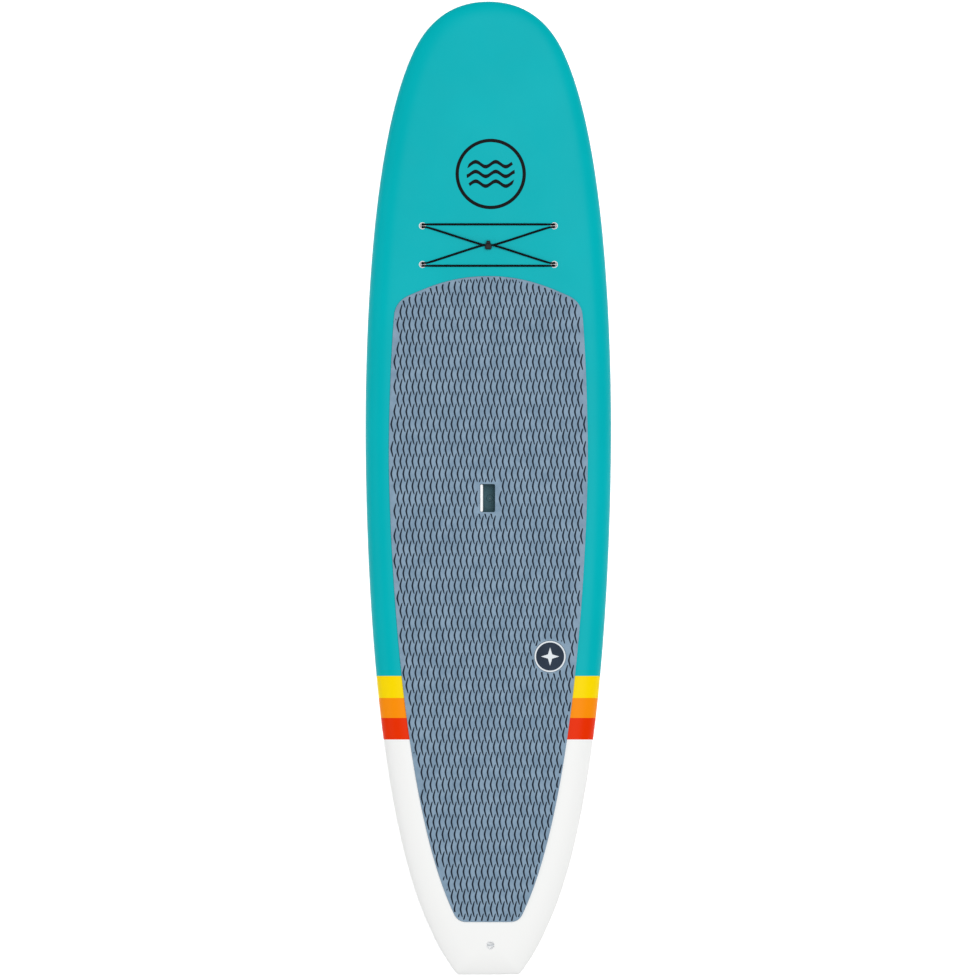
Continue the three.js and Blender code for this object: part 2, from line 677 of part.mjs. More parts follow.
function addCenterFin(hull) {
  const fin = new THREE.Group();
  fin.position.y = FIN_SHIFT;
  hull.add(fin);
  const front = FIN.root / 2;
  const pinY = PIN_SETBACK - front;
  const pinZ = (BOX_GROOVE.low + BOX_GROOVE.high) / 2;
  const screwY = front + TONGUE / 2;
  const tabSide = FIN.thickness / 2 - GAP;
  const headTop = SCREW_HEAD.height;

  const blade = thinned(plate(foilShape(FIN), FIN.thickness), FIN.height, FIN_TIP);
  const tab = box([-tabSide, -front + 4, -FIN.rootGap - 1], [tabSide, front, TAB_TOP]);
  const tongue = box([-tabSide, front - 1, headTop + GAP], [tabSide, front + TONGUE, TAB_TOP]);
  const heel = box([-tabSide, pinY - HEEL / 2, TAB_TOP - 1], [tabSide, pinY + HEEL / 2, BOX_GROOVE.high]);
  const pinHole = pinAlongX(PIN_RADIUS + GAP, -FIN.thickness, FIN.thickness).translate(0, pinY, pinZ);
  const screwHole = post(PIN_RADIUS + GAP, 0, BOX_GROOVE.high).translate(0, screwY, 0);
  add("center_fin", cut(join(blade, tab, tongue, heel), pinHole, screwHole), BLACK_PLASTIC, fin);
  const halfPin = NUT_PLATE.width / 2;
  add("fin_pin", pinAlongX(PIN_RADIUS, -halfPin, halfPin).translate(0, pinY, pinZ), BRASS, fin);

  const { width, length, thickness } = NUT_PLATE;
  const nut = block(width, length, BOX_GROOVE.low + GAP, BOX_GROOVE.low + GAP + thickness, 0.5, 1);
  const threaded = cut(nut, post(PIN_RADIUS + 0.2, 0, BOX_GROOVE.high));
  add("fin_plate", threaded.translate(0, screwY, 0), STEEL, fin);
  const driverSlot = box([-0.6, -SCREW_HEAD.radius - 1, -1], [0.6, SCREW_HEAD.radius + 1, 0.9]);
  const head = cut(post(SCREW_HEAD.radius, -0.2, headTop, 20), driverSlot);
  const shank = post(PIN_RADIUS - 0.1, headTop - 1, BOX_GROOVE.high);
  add("fin_screw", join(head, shank).translate(0, screwY, 0), STEEL, fin);
}

const SIDE_X = 190;
const SIDE_Y = -1130;
const SIDE_TOE = THREE.MathUtils.degToRad(3);
const SIDE_CANT = THREE.MathUtils.degToRad(5);
const SIDE_FIN = { root: 110, height: 114, rake: 92, rootGap: 1.5, thickness: 6.4 };
const SIDE_BOX = { width: 24, length: 124, slot: 7.2, slotLength: 104, depth: 15 };
const GRUB = { x: 7.4, y: 34, radius: 2, length: 8 };

function addSideFin(side, word) {
  const { point, normal } = skinAt(side * SIDE_X, SIDE_Y, -1);
  const hull = seat(point, normal.negate(), side * SIDE_TOE);
  const { width, length, slot, slotLength, depth } = SIDE_BOX;
  const shell = join(
    block(width, length, 0, SKIN + GAP, 10),
    block(width - 2, length - 8, SKIN, depth, 8),
  );
  const grubSpots = [-GRUB.y, GRUB.y];
  const grubHoles = grubSpots.map((y) => post(GRUB.radius + 0.2, -1, 11, 12).translate(side * GRUB.x, y, 0));
  const slotHole = block(slot, slotLength, -1, depth - 2, 3);
  add(`side_box_${word}`, cut(shell, slotHole, ...grubHoles), BLACK_PLASTIC, hull);
  for (const [place, y] of [["fore", GRUB.y], ["aft", -GRUB.y]]) {
    const grub = cut(post(GRUB.radius, 1, 1 + GRUB.length, 12), post(1, 0, 4, 6));
    add(`grub_screw_${place}_${word}`, grub.translate(side * GRUB.x, y, 0), STEEL, hull);
  }

  const blade = thinned(plate(foilShape(SIDE_FIN), SIDE_FIN.thickness), SIDE_FIN.height, FIN_TIP);
  blade.rotateY(-side * SIDE_CANT);
  const tabSide = SIDE_FIN.thickness / 2;
  const tabEnd = slotLength / 2 - 3;
  const tab = box([-tabSide, -tabEnd, -3.5], [tabSide, tabEnd, depth - 3]);
  add(`side_fin_${word}`, join(blade, tab), BLACK_PLASTIC, hull);

  shellCutters.push(placed(block(width + 1, length + 1, -5, SKIN + 2, 10), hull));
  foamCutters.push(placed(block(width - 1, length - 7, -5, depth + GLUE, 8), hull));
}

// ---- Deck pad ----

const mm = (x, y) => new THREE.Vector2(x, y);

// The starboard half of the pad, from the middle of its front round to the middle of its back.
const PAD_OUTLINE = [
  [cubic(mm(0, 697), mm(120, 697), mm(200, 660), mm(262, 633)), 6],
  [new THREE.QuadraticBezierCurve(mm(262, 633), mm(302, 615), mm(309, 575)), 4],
  [cubic(mm(309, 575), mm(316, 510), mm(327, 290), mm(327, 110)), 4],
  [cubic(mm(327, 110), mm(327, -130), mm(292, -1030), mm(113, -1400)), 9],
  [new THREE.QuadraticBezierCurve(mm(113, -1400), mm(101, -1427), mm(72, -1427)), 3],
  [new THREE.LineCurve(mm(72, -1427), mm(0, -1427)), 1],
];
const BADGE_X = 203;
const BADGE_Y = -554;
const BADGE_RADIUS = 52;
const ABOVE_DECK = 300;

function addPad(handOpening) {
  const starboard = pointsAlong(PAD_OUTLINE);
  const port = starboard.slice(1, -1).reverse().map(({ x, y }) => mm(-x, y));
  const prism = slab(new THREE.Shape([...starboard, ...port]), 0, ABOVE_DECK, 1);
  const sheet = between(surface(1, -GAP - PAD), surface(1, -GAP));
  const disc = (radius) => post(radius, 0, ABOVE_DECK, 40).translate(BADGE_X, BADGE_Y, 0);
  add("deck_pad", cut(common(sheet, prism), handOpening, disc(BADGE_RADIUS + GAP)), PAD_FOAM);
  add("pad_badge", common(sheet, disc(BADGE_RADIUS)), NAVY_FOAM);
}

// ---- Build ----

addPad(addHandHold());
addCup("leash_cup", "leash_bar", LEASH_X, LEASH_Y, LEASH_CUP);
const addInsert = (word, x, y) => addCup(`bungee_insert_${word}`, `bungee_bar_${word}`, x, y, INSERT_CUP);
addBungee({
  forePort: addInsert("fore_port", -INSERT_X, INSERT_FORE_Y),
  foreStarboard: addInsert("fore_starboard", INSERT_X, INSERT_FORE_Y),
  aftPort: addInsert("aft_port", -INSERT_X, INSERT_AFT_Y),
  aftStarboard: addInsert("aft_starboard", INSERT_X, INSERT_AFT_Y),
});
addCordLock();

const keel = skinAt(0, FIN_Y, -1);
const finSeat = seat(keel.point, keel.normal.negate());
addFinBox(finSeat);
addCenterFin(finSeat);
addSideFin(1, "starboard");
addSideFin(-1, "port");

add("laminate_shell", cut(outside, bodyAt(SKIN), ...shellCutters), TEAL);
const core = cut(bodyAt(SKIN + GLUE), ...foamCutters);
const lengthwise = (x0, x1) => box([x0, -LENGTH, -LENGTH], [x1, LENGTH, LENGTH]);
const halfStringer = STRINGER / 2;
add("stringer", common(core, lengthwise(-halfStringer, halfStringer)), WOOD);
add("core_starboard", common(core, lengthwise(halfStringer + GAP, LENGTH)), FOAM);
add("core_port", common(core, lengthwise(-LENGTH, -halfStringer - GAP)), FOAM);

export default board;
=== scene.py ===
import json
import math

import bmesh
import bpy
import numpy as np
from mathutils import Matrix, Vector
from mathutils.bvhtree import BVHTree
from mathutils.geometry import delaunay_2d_cdt


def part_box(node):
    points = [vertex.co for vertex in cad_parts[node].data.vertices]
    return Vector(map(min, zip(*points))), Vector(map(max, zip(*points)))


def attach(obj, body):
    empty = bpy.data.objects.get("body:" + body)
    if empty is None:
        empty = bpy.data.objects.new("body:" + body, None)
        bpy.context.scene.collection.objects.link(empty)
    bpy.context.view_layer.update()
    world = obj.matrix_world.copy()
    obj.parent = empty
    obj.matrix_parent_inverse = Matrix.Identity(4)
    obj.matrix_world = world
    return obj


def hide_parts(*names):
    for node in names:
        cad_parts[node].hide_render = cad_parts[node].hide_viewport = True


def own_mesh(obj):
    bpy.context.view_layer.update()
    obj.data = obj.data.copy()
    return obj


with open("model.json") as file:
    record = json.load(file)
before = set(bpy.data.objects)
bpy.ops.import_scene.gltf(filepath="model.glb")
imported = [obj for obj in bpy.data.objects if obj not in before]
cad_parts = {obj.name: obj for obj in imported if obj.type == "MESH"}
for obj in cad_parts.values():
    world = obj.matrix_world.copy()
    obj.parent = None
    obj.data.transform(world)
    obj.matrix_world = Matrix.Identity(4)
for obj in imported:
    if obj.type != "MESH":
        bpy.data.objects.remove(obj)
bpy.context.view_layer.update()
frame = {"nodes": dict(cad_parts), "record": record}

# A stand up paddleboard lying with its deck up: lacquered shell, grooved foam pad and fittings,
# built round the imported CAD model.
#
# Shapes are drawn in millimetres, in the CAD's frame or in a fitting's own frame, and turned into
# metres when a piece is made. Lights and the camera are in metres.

MM = 0.001


def cad_corners(node):
    """Lowest and highest corner of a CAD node, in millimetres."""
    low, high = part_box(node)
    return low / MM, high / MM


def cad_centre(node):
    low, high = cad_corners(node)
    return (low + high) / 2


def mount(name):
    """Place, in millimetres, and direction of one of the record's mounts."""
    found = next(m for m in frame["record"]["mounts"] if m["name"] == name)
    return Vector(found["pos_m"]) / MM, Vector(found["axis"])


# ---- Dimensions of the board, as in the CAD ----

HALF_WIDTH, HALF_LENGTH, _ = cad_corners("laminate_shell")[1]
THICKNESS = 115
SKIN = 3
GAP = 0.3  # clearance between pieces
PAD = 5
CORD_RADIUS = 3
NOSE_ROCKER = (300, 120, 2.6)  # where it starts, how far it has risen at the end, power
TAIL_ROCKER = (500, 50, 2.2)
NOSE_THINNING = (200, 60, 2.2)
TAIL_THINNING = (200, 70, 2.5)
RAIL_SPLIT = 0.42
RAIL_TOP = 75
RAIL_BOTTOM = 80
RAIL_FULLNESS = 2.2
DOME = 10
SPINE_BEND = 1400
SPINE_LAG = 0.36

# ---- Meshes, drawn in millimetres ----


def mesh_of(points, faces):
    bm = bmesh.new()
    verts = [bm.verts.new(point) for point in points]
    for face in faces:
        bm.faces.new([verts[i] for i in face])
    return bm


WELD = 0.01  # points nearer than this are made one
FINE_WELD = 0.001


def tidied(bm):
    """The mesh with doubled points merged and its faces turned outwards."""
    bmesh.ops.remove_doubles(bm, verts=bm.verts, dist=WELD)
    bmesh.ops.recalc_face_normals(bm, faces=bm.faces)
    return bm


def moved(bm, *place):
    """The mesh moved by a distance in x, y and z, or by a matrix."""
    matrix = place[0] if len(place) == 1 else Matrix.Translation(place)
    bm.transform(matrix)
    return bm


def settled(bm, name="spare"):
    """The mesh as Blender data. The working copy is freed."""
    mesh = bpy.data.meshes.new(name)
    bm.to_mesh(mesh)
    bm.free()
    return mesh


def in_scene(name, data):
    """A new object of the scene that shows the data."""
    made = bpy.data.objects.new(name, data)
    bpy.context.scene.collection.objects.link(made)
    return made


def added(first, *others):
    """Meshes put together without joining their surfaces."""
    for other in others:
        spare = settled(other)
        first.from_mesh(spare)
        bpy.data.meshes.remove(spare)
    return first


def combined(operation, target, cutter):
    """Exact Boolean of two solids."""
    objects = [in_scene("solid", settled(bm)) for bm in (target, cutter)]
    modifier = objects[0].modifiers.new("cut", "BOOLEAN")
    modifier.operation = operation
    modifier.object = objects[1]
    modifier.solver = "EXACT"
    shown = objects[0].evaluated_get(bpy.context.evaluated_depsgraph_get())
    result = bmesh.new()
    result.from_mesh(shown.to_mesh())
    for obj in objects:
        mesh = obj.data
        bpy.data.objects.remove(obj)
        bpy.data.meshes.remove(mesh)
    return result


def cut(target, *cutters):
    for cutter in cutters:
        target = combined("DIFFERENCE", target, cutter)
    return target


def joined(target, *others):
    for other in others:
        target = combined("UNION", target, other)
    return target


def rounded_loop(width, length, radius, steps=6):
    """Corners of a rounded rectangle, anticlockwise."""
    points = []
    for turn, (side_x, side_y) in enumerate([(1, 1), (-1, 1), (-1, -1), (1, -1)]):
        for step in range(steps + 1):
            angle = (turn + step / steps) * math.pi / 2
            x = side_x * (width / 2 - radius) + radius * math.cos(angle)
            y = side_y * (length / 2 - radius) + radius * math.sin(angle)
            points.append((x, y))
    return points


def ring_faces(rings, count):
    """Quads between neighbouring rings of count points each."""
    faces = []
    for first in range(0, (rings - 1) * count, count):
        for i in range(count):
            after = (i + 1) % count
            faces.append((first + i, first + after, first + count + after, first + count + i))
    return faces


def stacked(loops):
    """A solid from loops of points, each with its height, from the lowest up."""
    count = len(loops[0][0])
    points = [(x, y, z) for loop, z in loops for x, y in loop]
    last = len(points) - count
    faces = [range(count)[::-1], *ring_faces(len(loops), count), range(last, len(points))]
    return tidied(mesh_of(points, faces))


def fillet_levels(z0, z1, low, high, steps=3):
    """(inset, height) pairs up a side whose lowest and highest edges are rounded by low and high."""
    levels = []
    for step in range(steps + 1 if low else 1):
        angle = step / steps * math.pi / 2
        levels.append((low * (1 - math.sin(angle)), z0 + low * (1 - math.cos(angle))))
    for step in range(steps + 1 if high else 1):
        angle = step / steps * math.pi / 2
        levels.append((high * (1 - math.cos(angle)), z1 - high * (1 - math.sin(angle))))
    return levels


LEAST_RADIUS = 0.05
BOX_RADIUS = 0.2
ALONG_X = Matrix.Rotation(math.pi / 2, 4, "Y")


def block(width, length, z0, z1, radius, low=0.0, high=0.0):
    """An upright block with rounded corners, and fillets round its lowest and highest face."""
    loops = []
    for inset, z in fillet_levels(z0, z1, low, high):
        corner = max(radius - inset, LEAST_RADIUS)
        loops.append((rounded_loop(width - 2 * inset, length - 2 * inset, corner), z))
    return stacked(loops)


def box(low, high):
    """A box between two corners, with a small radius on its upright edges."""
    (x0, y0, z0), (x1, y1, z1) = low, high
    return moved(block(x1 - x0, y1 - y0, z0, z1, BOX_RADIUS), (x0 + x1) / 2, (y0 + y1) / 2, 0)


def round_angles(count):
    return [2 * math.pi * i / count for i in range(count)]


def post(radius, z0, z1, low=0.0, high=0.0, sides=40):
    """An upright round post, with fillets round its lowest and highest face."""
    loops = []
    for inset, z in fillet_levels(z0, z1, low, high):
        here = radius - inset
        loops.append(([(here * math.cos(a), here * math.sin(a)) for a in round_angles(sides)], z))
    return stacked(loops)


def pin_along_x(radius, x0, x1, fillet=0.0, sides=24):
    return moved(post(radius, x0, x1, fillet, fillet, sides), ALONG_X)


SIDE_TO_FILLET = 2.2  # least length of a side over the fillet at its end


def filleted(corners, radius, steps=4):
    """A closed chain of corners with each one off the axis rounded, as far as its sides allow."""
    points = []
    for i, corner in enumerate(corners):
        here = Vector(corner)
        before = Vector(corners[i - 1]) - here
        after = Vector(corners[(i + 1) % len(corners)]) - here
        room = min(before.length, after.length) / SIDE_TO_FILLET
        pull = 0 if corner[0] == 0 else min(radius, room)
        start = here + before.normalized() * pull
        end = here + after.normalized() * pull
        for step in range(steps + 1 if pull else 1):
            t = step / steps
            points.append(start * (1 - t) ** 2 + here * 2 * t * (1 - t) + end * t * t)
    return points


def turned(corners, radius, sides=64):
    """A solid of revolution about Z, with its edges rounded by radius."""
    profile = filleted(corners, radius)
    rings = [(r * math.cos(a), r * math.sin(a), z) for a in round_angles(sides) for r, z in profile]
    count = len(profile)
    faces = []
    for i in range(sides):
        first, second = i * count, (i + 1) % sides * count
        for j in range(count):
            after = (j + 1) % count
            if profile[j].x > 0 or profile[after].x > 0:
                faces.append((first + j, second + j, second + after, first + after))
    bm = mesh_of(rings, faces)
    bmesh.ops.remove_doubles(bm, verts=bm.verts, dist=FINE_WELD)
    bmesh.ops.dissolve_degenerate(bm, edges=bm.edges, dist=FINE_WELD)
    return tidied(bm)


def tube(route, radii, sides):
    """A round tube along a dense route. Its UV map runs along it in metres and round it from 0 to 1."""
    route = [Vector(point) for point in route]
    points = []
    distances = [0.0]
    side = (route[1] - route[0]).normalized().orthogonal().normalized()
    for i, point in enumerate(route):
        ahead = (route[min(i + 1, len(route) - 1)] - route[max(i - 1, 0)]).normalized()
        side = (side - ahead * side.dot(ahead)).normalized()
        up = ahead.cross(side)
        outwards = [side * math.cos(a) + up * math.sin(a) for a in round_angles(sides)]
        points += [point + radii[i] * outward for outward in outwards]
        if i:
            distances.append(distances[-1] + (point - route[i - 1]).length)
    walls = ring_faces(len(route), sides)
    ends = [range(sides)[::-1], range(len(points) - sides, len(points))]
    bm = mesh_of(points, [*walls, *ends])
    uv = bm.loops.layers.uv.new("along")
    for number, face in enumerate(list(bm.faces)[:len(walls)]):
        row, place = divmod(number, sides)
        corners = [(row, place), (row, place + 1), (row + 1, place + 1), (row + 1, place)]
        for loop, (along, turn) in zip(face.loops, corners):
            loop[uv].uv = (distances[along] * MM, turn / sides)
    bmesh.ops.recalc_face_normals(bm, faces=bm.faces)
    return bm


def blend(first, second, start, end, t):
    """first where t is at start, second where it's at end, and in proportion elsewhere."""
    share = (t - start) / (end - start)
    return first * (1 - share) + second * share


def smooth_route(points, spacing):
    """A dense centripetal Catmull-Rom curve through the points."""
    points = [Vector(point) for point in points]
    points = [2 * points[0] - points[1], *points, 2 * points[-1] - points[-2]]
    route = []
    for p0, p1, p2, p3 in zip(points, points[1:], points[2:], points[3:]):
        t1 = (p1 - p0).length ** 0.5
        t2 = t1 + (p2 - p1).length ** 0.5
        t3 = t2 + (p3 - p2).length ** 0.5
        steps = max(2, round((p2 - p1).length / spacing))
        for step in range(steps):
            t = t1 + (t2 - t1) * step / steps
            a1 = blend(p0, p1, 0, t1, t)
            a2 = blend(p1, p2, t1, t2, t)
            a3 = blend(p2, p3, t2, t3, t)
            route.append(blend(blend(a1, a2, 0, t2, t), blend(a2, a3, t1, t3, t), t1, t2, t))
    route.append(points[-2])
    return route


# ---- The board's surfaces ----


def bezier(points, steps):
    """Points along a Bezier curve of any degree, without its last."""
    points = np.array(points, float)
    t = np.arange(steps)[:, None] / steps
    n = len(points) - 1
    return sum(math.comb(n, k) * t**k * (1 - t) ** (n - k) * points[k] for k in range(n + 1))


# The starboard half of the board's outline from the nose to the middle of the tail: the control
# points of each stretch as shares of the half-width and half-length, and its number of steps.
OUTLINE = [
    ([(0, 1), (0.4, 1), (0.559, 0.926), (0.626, 0.8875)], 40),
    ([(0.626, 0.8875), (0.96, 0.6975), (1, 0.301), (1, 0.123)], 60),
    ([(1, 0.123), (1, -0.05), (0.963, -0.6425), (0.483, -0.9)], 80),
    ([(0.483, -0.9), (0.448, -0.919), (0.4, -0.95), (0.267, -0.995)], 14),
    ([(0.267, -0.995), (0.252, -1), (0.223, -1)], 6),
    ([(0.223, -1), (0, -1)], 10),
]
ROUND_STEPS = 14
FLAT_STEPS = 14


def half_outline(stretches):
    """Points along stretches of (control points, steps), with the last one's end."""
    end = stretches[-1][0][-1]
    return np.concatenate([*[bezier(points, steps) for points, steps in stretches], [end]])


RAIL = half_outline(OUTLINE) * (HALF_WIDTH, HALF_LENGTH)
BEYOND = np.maximum(0, abs(RAIL[:, 1]) - SPINE_BEND)
SPINE = np.stack([0 * BEYOND, RAIL[:, 1] - np.sign(RAIL[:, 1]) * BEYOND * (1 - SPINE_LAG)], axis=1)


def rise_at(distance, start, rise, power):
    return rise * np.maximum(0, (distance - start) / (HALF_LENGTH - start)) ** power


def thickness_at(y):
    return THICKNESS - rise_at(y, *NOSE_THINNING) - rise_at(-y, *TAIL_THINNING)


def rail_height(y):
    return rise_at(y, *NOSE_ROCKER) + rise_at(-y, *TAIL_ROCKER) + RAIL_SPLIT * thickness_at(y)


def surface_rows(side, depth):
    """Rows of points of the deck (side 1) or hull (side -1), from the starboard rail to the spine."""
    reach = np.linalg.norm(SPINE - RAIL, axis=1)[:, None]
    width = (RAIL_TOP if side > 0 else RAIL_BOTTOM) - depth
    angles = np.linspace(0, math.pi / 2, ROUND_STEPS + 1)
    round_part = width * (1 - np.cos(angles) ** (2 / RAIL_FULLNESS))
    flat_part = width + (reach - depth - width) * np.linspace(0, 1, FLAT_STEPS + 1)[1:]
    insets = np.concatenate([np.repeat(round_part[None], len(reach), 0), flat_part], axis=1)
    share = ((depth + insets) / reach)[..., None]
    plan = RAIL[:, None] * (1 - share) + SPINE[:, None] * share
    y = plan[..., 1]
    left = 1 - np.minimum(insets / width, 1)
    climbed = (1 - left**RAIL_FULLNESS) ** (1 / RAIL_FULLNESS)
    if side < 0:
        height = rail_height(y) - (RAIL_SPLIT * thickness_at(y) - depth) * climbed
    else:
        shoulder = (1 - RAIL_SPLIT) * thickness_at(y) - DOME - depth
        from_spine = 1 - insets / (reach - depth)
        height = rail_height(y) + shoulder * climbed + DOME * (1 - from_spine**2)
    return np.concatenate([plan, height[..., None]], axis=2)


def body(depth):
    """The board's closed surface, as far in as depth under its outside."""
    deck, hull = surface_rows(1, depth), surface_rows(-1, depth)
    to_port = (-1, 1, 1)
    rings = np.concatenate(
        [deck, deck[:, -2::-1] * to_port, hull[:, 1:] * to_port, hull[:, -2:0:-1]],
        axis=1,
    )
    bm = mesh_of(rings.reshape(-1, 3), ring_faces(*rings.shape[:2]))
    bmesh.ops.remove_doubles(bm, verts=bm.verts, dist=WELD)
    bmesh.ops.dissolve_degenerate(bm, edges=bm.edges, dist=FINE_WELD)
    return tidied(bm)


OUTSIDE = body(0)
OUTSIDE_TREE = BVHTree.FromBMesh(OUTSIDE)
FAR = 1000  # well clear of the board


def on_board(x, y, side=1):
    """The point of the deck (side 1) or hull (side -1) over x, y, and the way it faces."""
    point, normal, _, _ = OUTSIDE_TREE.ray_cast(Vector((x, y, side * FAR)), Vector((0, 0, -side)))
    return point, normal


def seat(point, up=Vector((0, 0, 1)), turn=0.0):
    """A fitting's frame, with its own Z along up and its Y as near to the board's as that allows."""
    across = Vector((0, 1, 0)).cross(up).normalized()
    along = up.cross(across)
    matrix = Matrix((across, along, up)).transposed().to_4x4()
    matrix.translation = point
    return matrix @ Matrix.Rotation(turn, 4, "Z")


def deck_seat(x, y):
    point, normal = on_board(x, y)
    return seat(point, normal)


# ---- Pieces ----


def remade(node, bm, slot, place=None, rides_on="board", crease=35):
    """A CAD node's piece made again, from a mesh in millimetres in the frame place."""
    if place is not None:
        bm.transform(place)
    bm.transform(Matrix.Scale(MM, 4))
    name = f"{node}_look"
    mesh = settled(bm, name)
    mesh.materials.append(LOOKS[slot])
    mesh.shade_smooth()
    mesh.set_sharp_from_angle(angle=math.radians(crease))
    piece = in_scene(name, mesh)
    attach(piece, rides_on)
    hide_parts(node)
    return piece


# ---- Materials ----


def linear(red, green, blue):
    """A colour given as sRGB screen values from 0 to 255, as the renderer's linear values."""
    values = [channel / 255 for channel in (red, green, blue)]
    shaped = [v / 12.92 if v <= 0.04045 else ((v + 0.055) / 1.055) ** 2.4 for v in values]
    return (*shaped, 1.0)


class Look:
    """A material in the making: adds shader nodes and joins them up."""

    def __init__(self, slot, **shader_values):
        self.slot = slot
        self.material = bpy.data.materials.new(slot)
        self.material.use_nodes = True
        self.tree = self.material.node_tree
        self.shader = self.tree.nodes["Principled BSDF"]
        for socket, value in shader_values.items():
            self.shader.inputs[socket.replace("_", " ")].default_value = value
        self.place = self.node("ShaderNodeTexCoord").outputs["Object"]

    def node(self, kind, inputs=None, **settings):
        made = self.tree.nodes.new(kind)
        for name, value in settings.items():
            setattr(made, name, value)
        for name, value in (inputs or {}).items():
            self.feed(made.inputs[name], value)
        return made

    def feed(self, socket, value):
        if isinstance(value, bpy.types.NodeSocket):
            self.tree.links.new(value, socket)
        else:
            socket.default_value = value

    def math(self, operation, *values):
        made = self.node("ShaderNodeMath", operation=operation)
        for i, value in enumerate(values):
            self.feed(made.inputs[i], value)
        return made.outputs[0]

    def near(self, value, target, width):
        """1 where the value is within half the width of the target."""
        off = self.math("ABSOLUTE", self.math("SUBTRACT", value, target))
        return self.math("LESS_THAN", off, width / 2)

    def length(self, dx, dy):
        squares = self.math("ADD", self.math("MULTIPLY", dx, dx), self.math("MULTIPLY", dy, dy))
        return self.math("SQRT", squares)

    def coordinates(self):
        """The object's own x, y and z in metres."""
        split = self.node("ShaderNodeSeparateXYZ", {"Vector": self.place})
        return split.outputs["X"], split.outputs["Y"], split.outputs["Z"]

    def stretched(self, *scale):
        """The object's coordinates, scaled along each axis."""
        inputs = {"Vector": self.place, "Scale": scale}
        return self.node("ShaderNodeMapping", inputs).outputs["Vector"]

    def mix(self, share, first, second):
        made = self.node("ShaderNodeMix", data_type="RGBA")
        self.feed(made.inputs[0], share)
        self.feed(made.inputs[6], first)
        self.feed(made.inputs[7], second)
        return made.outputs[2]

    def noise(self, scale, detail=2.0, where=None):
        inputs = {"Vector": where or self.place, "Scale": scale, "Detail": detail}
        return self.node("ShaderNodeTexNoise", inputs).outputs["Fac"]

    def cells(self, scale):
        inputs = {"Vector": self.place, "Scale": scale}
        return self.node("ShaderNodeTexVoronoi", inputs).outputs["Distance"]

    def ramp(self, value, low, high, start=0.0, end=1.0):
        """value's stretch from low to high, mapped onto start to end and held there."""
        inputs = {"From Min": low, "From Max": high, "To Min": start, "To Max": end, "Value": value}
        return self.node("ShaderNodeMapRange", inputs).outputs["Result"]

    def attribute(self, name):
        return self.node("ShaderNodeAttribute", attribute_name=name).outputs["Fac"]

    def finished(self, colour, roughness, height, distance, strength=1.0):
        """The slot's name and its material, with a colour, a roughness and bumps."""
        inputs = {"Height": height, "Distance": distance, "Strength": strength}
        bump = self.node("ShaderNodeBump", inputs)
        self.feed(self.shader.inputs["Base Color"], colour)
        self.feed(self.shader.inputs["Roughness"], roughness)
        self.feed(self.shader.inputs["Normal"], bump.outputs["Normal"])
        return self.slot, self.material


MOST_NOISE = (0.3, 0.7)  # where most of a noise's values lie
MIDDLE_NOISE = (0.35, 0.65)  # the same for a stronger contrast


def varied(look, colour, amount, scale):
    """The colour, a little lighter and darker from place to place."""
    darker = (*[channel * (1 - amount) for channel in colour[:3]], 1.0)
    lighter = (*[min(1, channel * (1 + amount)) for channel in colour[:3]], 1.0)
    return look.mix(look.ramp(look.noise(scale, 3), *MOST_NOISE), darker, lighter)


TEAL = linear(0, 180, 187)
YELLOW = linear(255, 222, 0)
ORANGE = linear(255, 146, 8)
RED = linear(236, 50, 0)
WHITE = linear(249, 249, 247)
BLACK = linear(5, 5, 7)
BANDS = [(-0.618, YELLOW), (-0.6905, ORANGE), (-0.756, RED), (-0.827, WHITE)]  # each from y aft
RING_X, RING_Y = 0.0077, 1.033
RING_RADIUS = 0.1102
RING_STROKE = 0.0112
WAVE_ROWS = (-0.032, 0.0, 0.032)
WAVE_HEIGHT = 0.008
WAVE_LENGTH = 0.066
WAVE_STROKE = 0.0125
WAVES_REACH = 0.72  # of the ring's radius
WRAP = 0.014  # how far the deck's colours reach below the widest line
PINLINE = 0.0025


def emblem(look, x, y):
    """1 on the nose's printed ring and the three wave lines inside it."""
    dx = look.math("SUBTRACT", x, RING_X)
    dy = look.math("SUBTRACT", y, RING_Y)
    distance = look.length(dx, dy)
    mark = look.near(distance, RING_RADIUS, RING_STROKE)
    swing = look.math("SINE", look.math("MULTIPLY", dx, 2 * math.pi / WAVE_LENGTH))
    over_wave = look.math("SUBTRACT", dy, look.math("MULTIPLY", swing, WAVE_HEIGHT))
    in_ring = look.math("LESS_THAN", distance, RING_RADIUS * WAVES_REACH)
    for row in WAVE_ROWS:
        on_wave = look.near(over_wave, row, WAVE_STROKE)
        mark = look.math("MAXIMUM", mark, look.math("MULTIPLY", on_wave, in_ring))
    return mark


def lacquer():
    """Gloss lacquer: painted bands on the deck and rails, a white bottom, and a thin line between."""
    look = Look("shell_lacquer", Specular_IOR_Level=0.05)
    x, y, _ = look.coordinates()
    below = look.attribute("below_rail")
    colour = varied(look, TEAL, 0.025, 4.0)
    for end, next_colour in BANDS:
        colour = look.mix(look.math("LESS_THAN", y, end), colour, next_colour)
    on_deck = look.math("LESS_THAN", below, 0.0)
    colour = look.mix(look.math("MULTIPLY", emblem(look, x, y), on_deck), colour, BLACK)
    bottom = look.math("GREATER_THAN", below, WRAP)
    colour = look.mix(bottom, colour, varied(look, WHITE, 0.02, 5.0))
    colour = look.mix(look.near(below, WRAP, PINLINE), colour, BLACK)
    roughness = look.ramp(look.noise(9.0, 4), *MOST_NOISE, 0.32, 0.4)
    return look.finished(colour, roughness, look.noise(160.0, 2), 0.00006)


FOAM_LIGHT = linear(143, 168, 189)
FOAM_DARK = linear(127, 153, 175)
GROOVE_NAVY = linear(9, 26, 45)


SPECKLE_SHARE = 0.12
FULL_SHADE = 0.25  # share of a groove's depth from which its colour is full


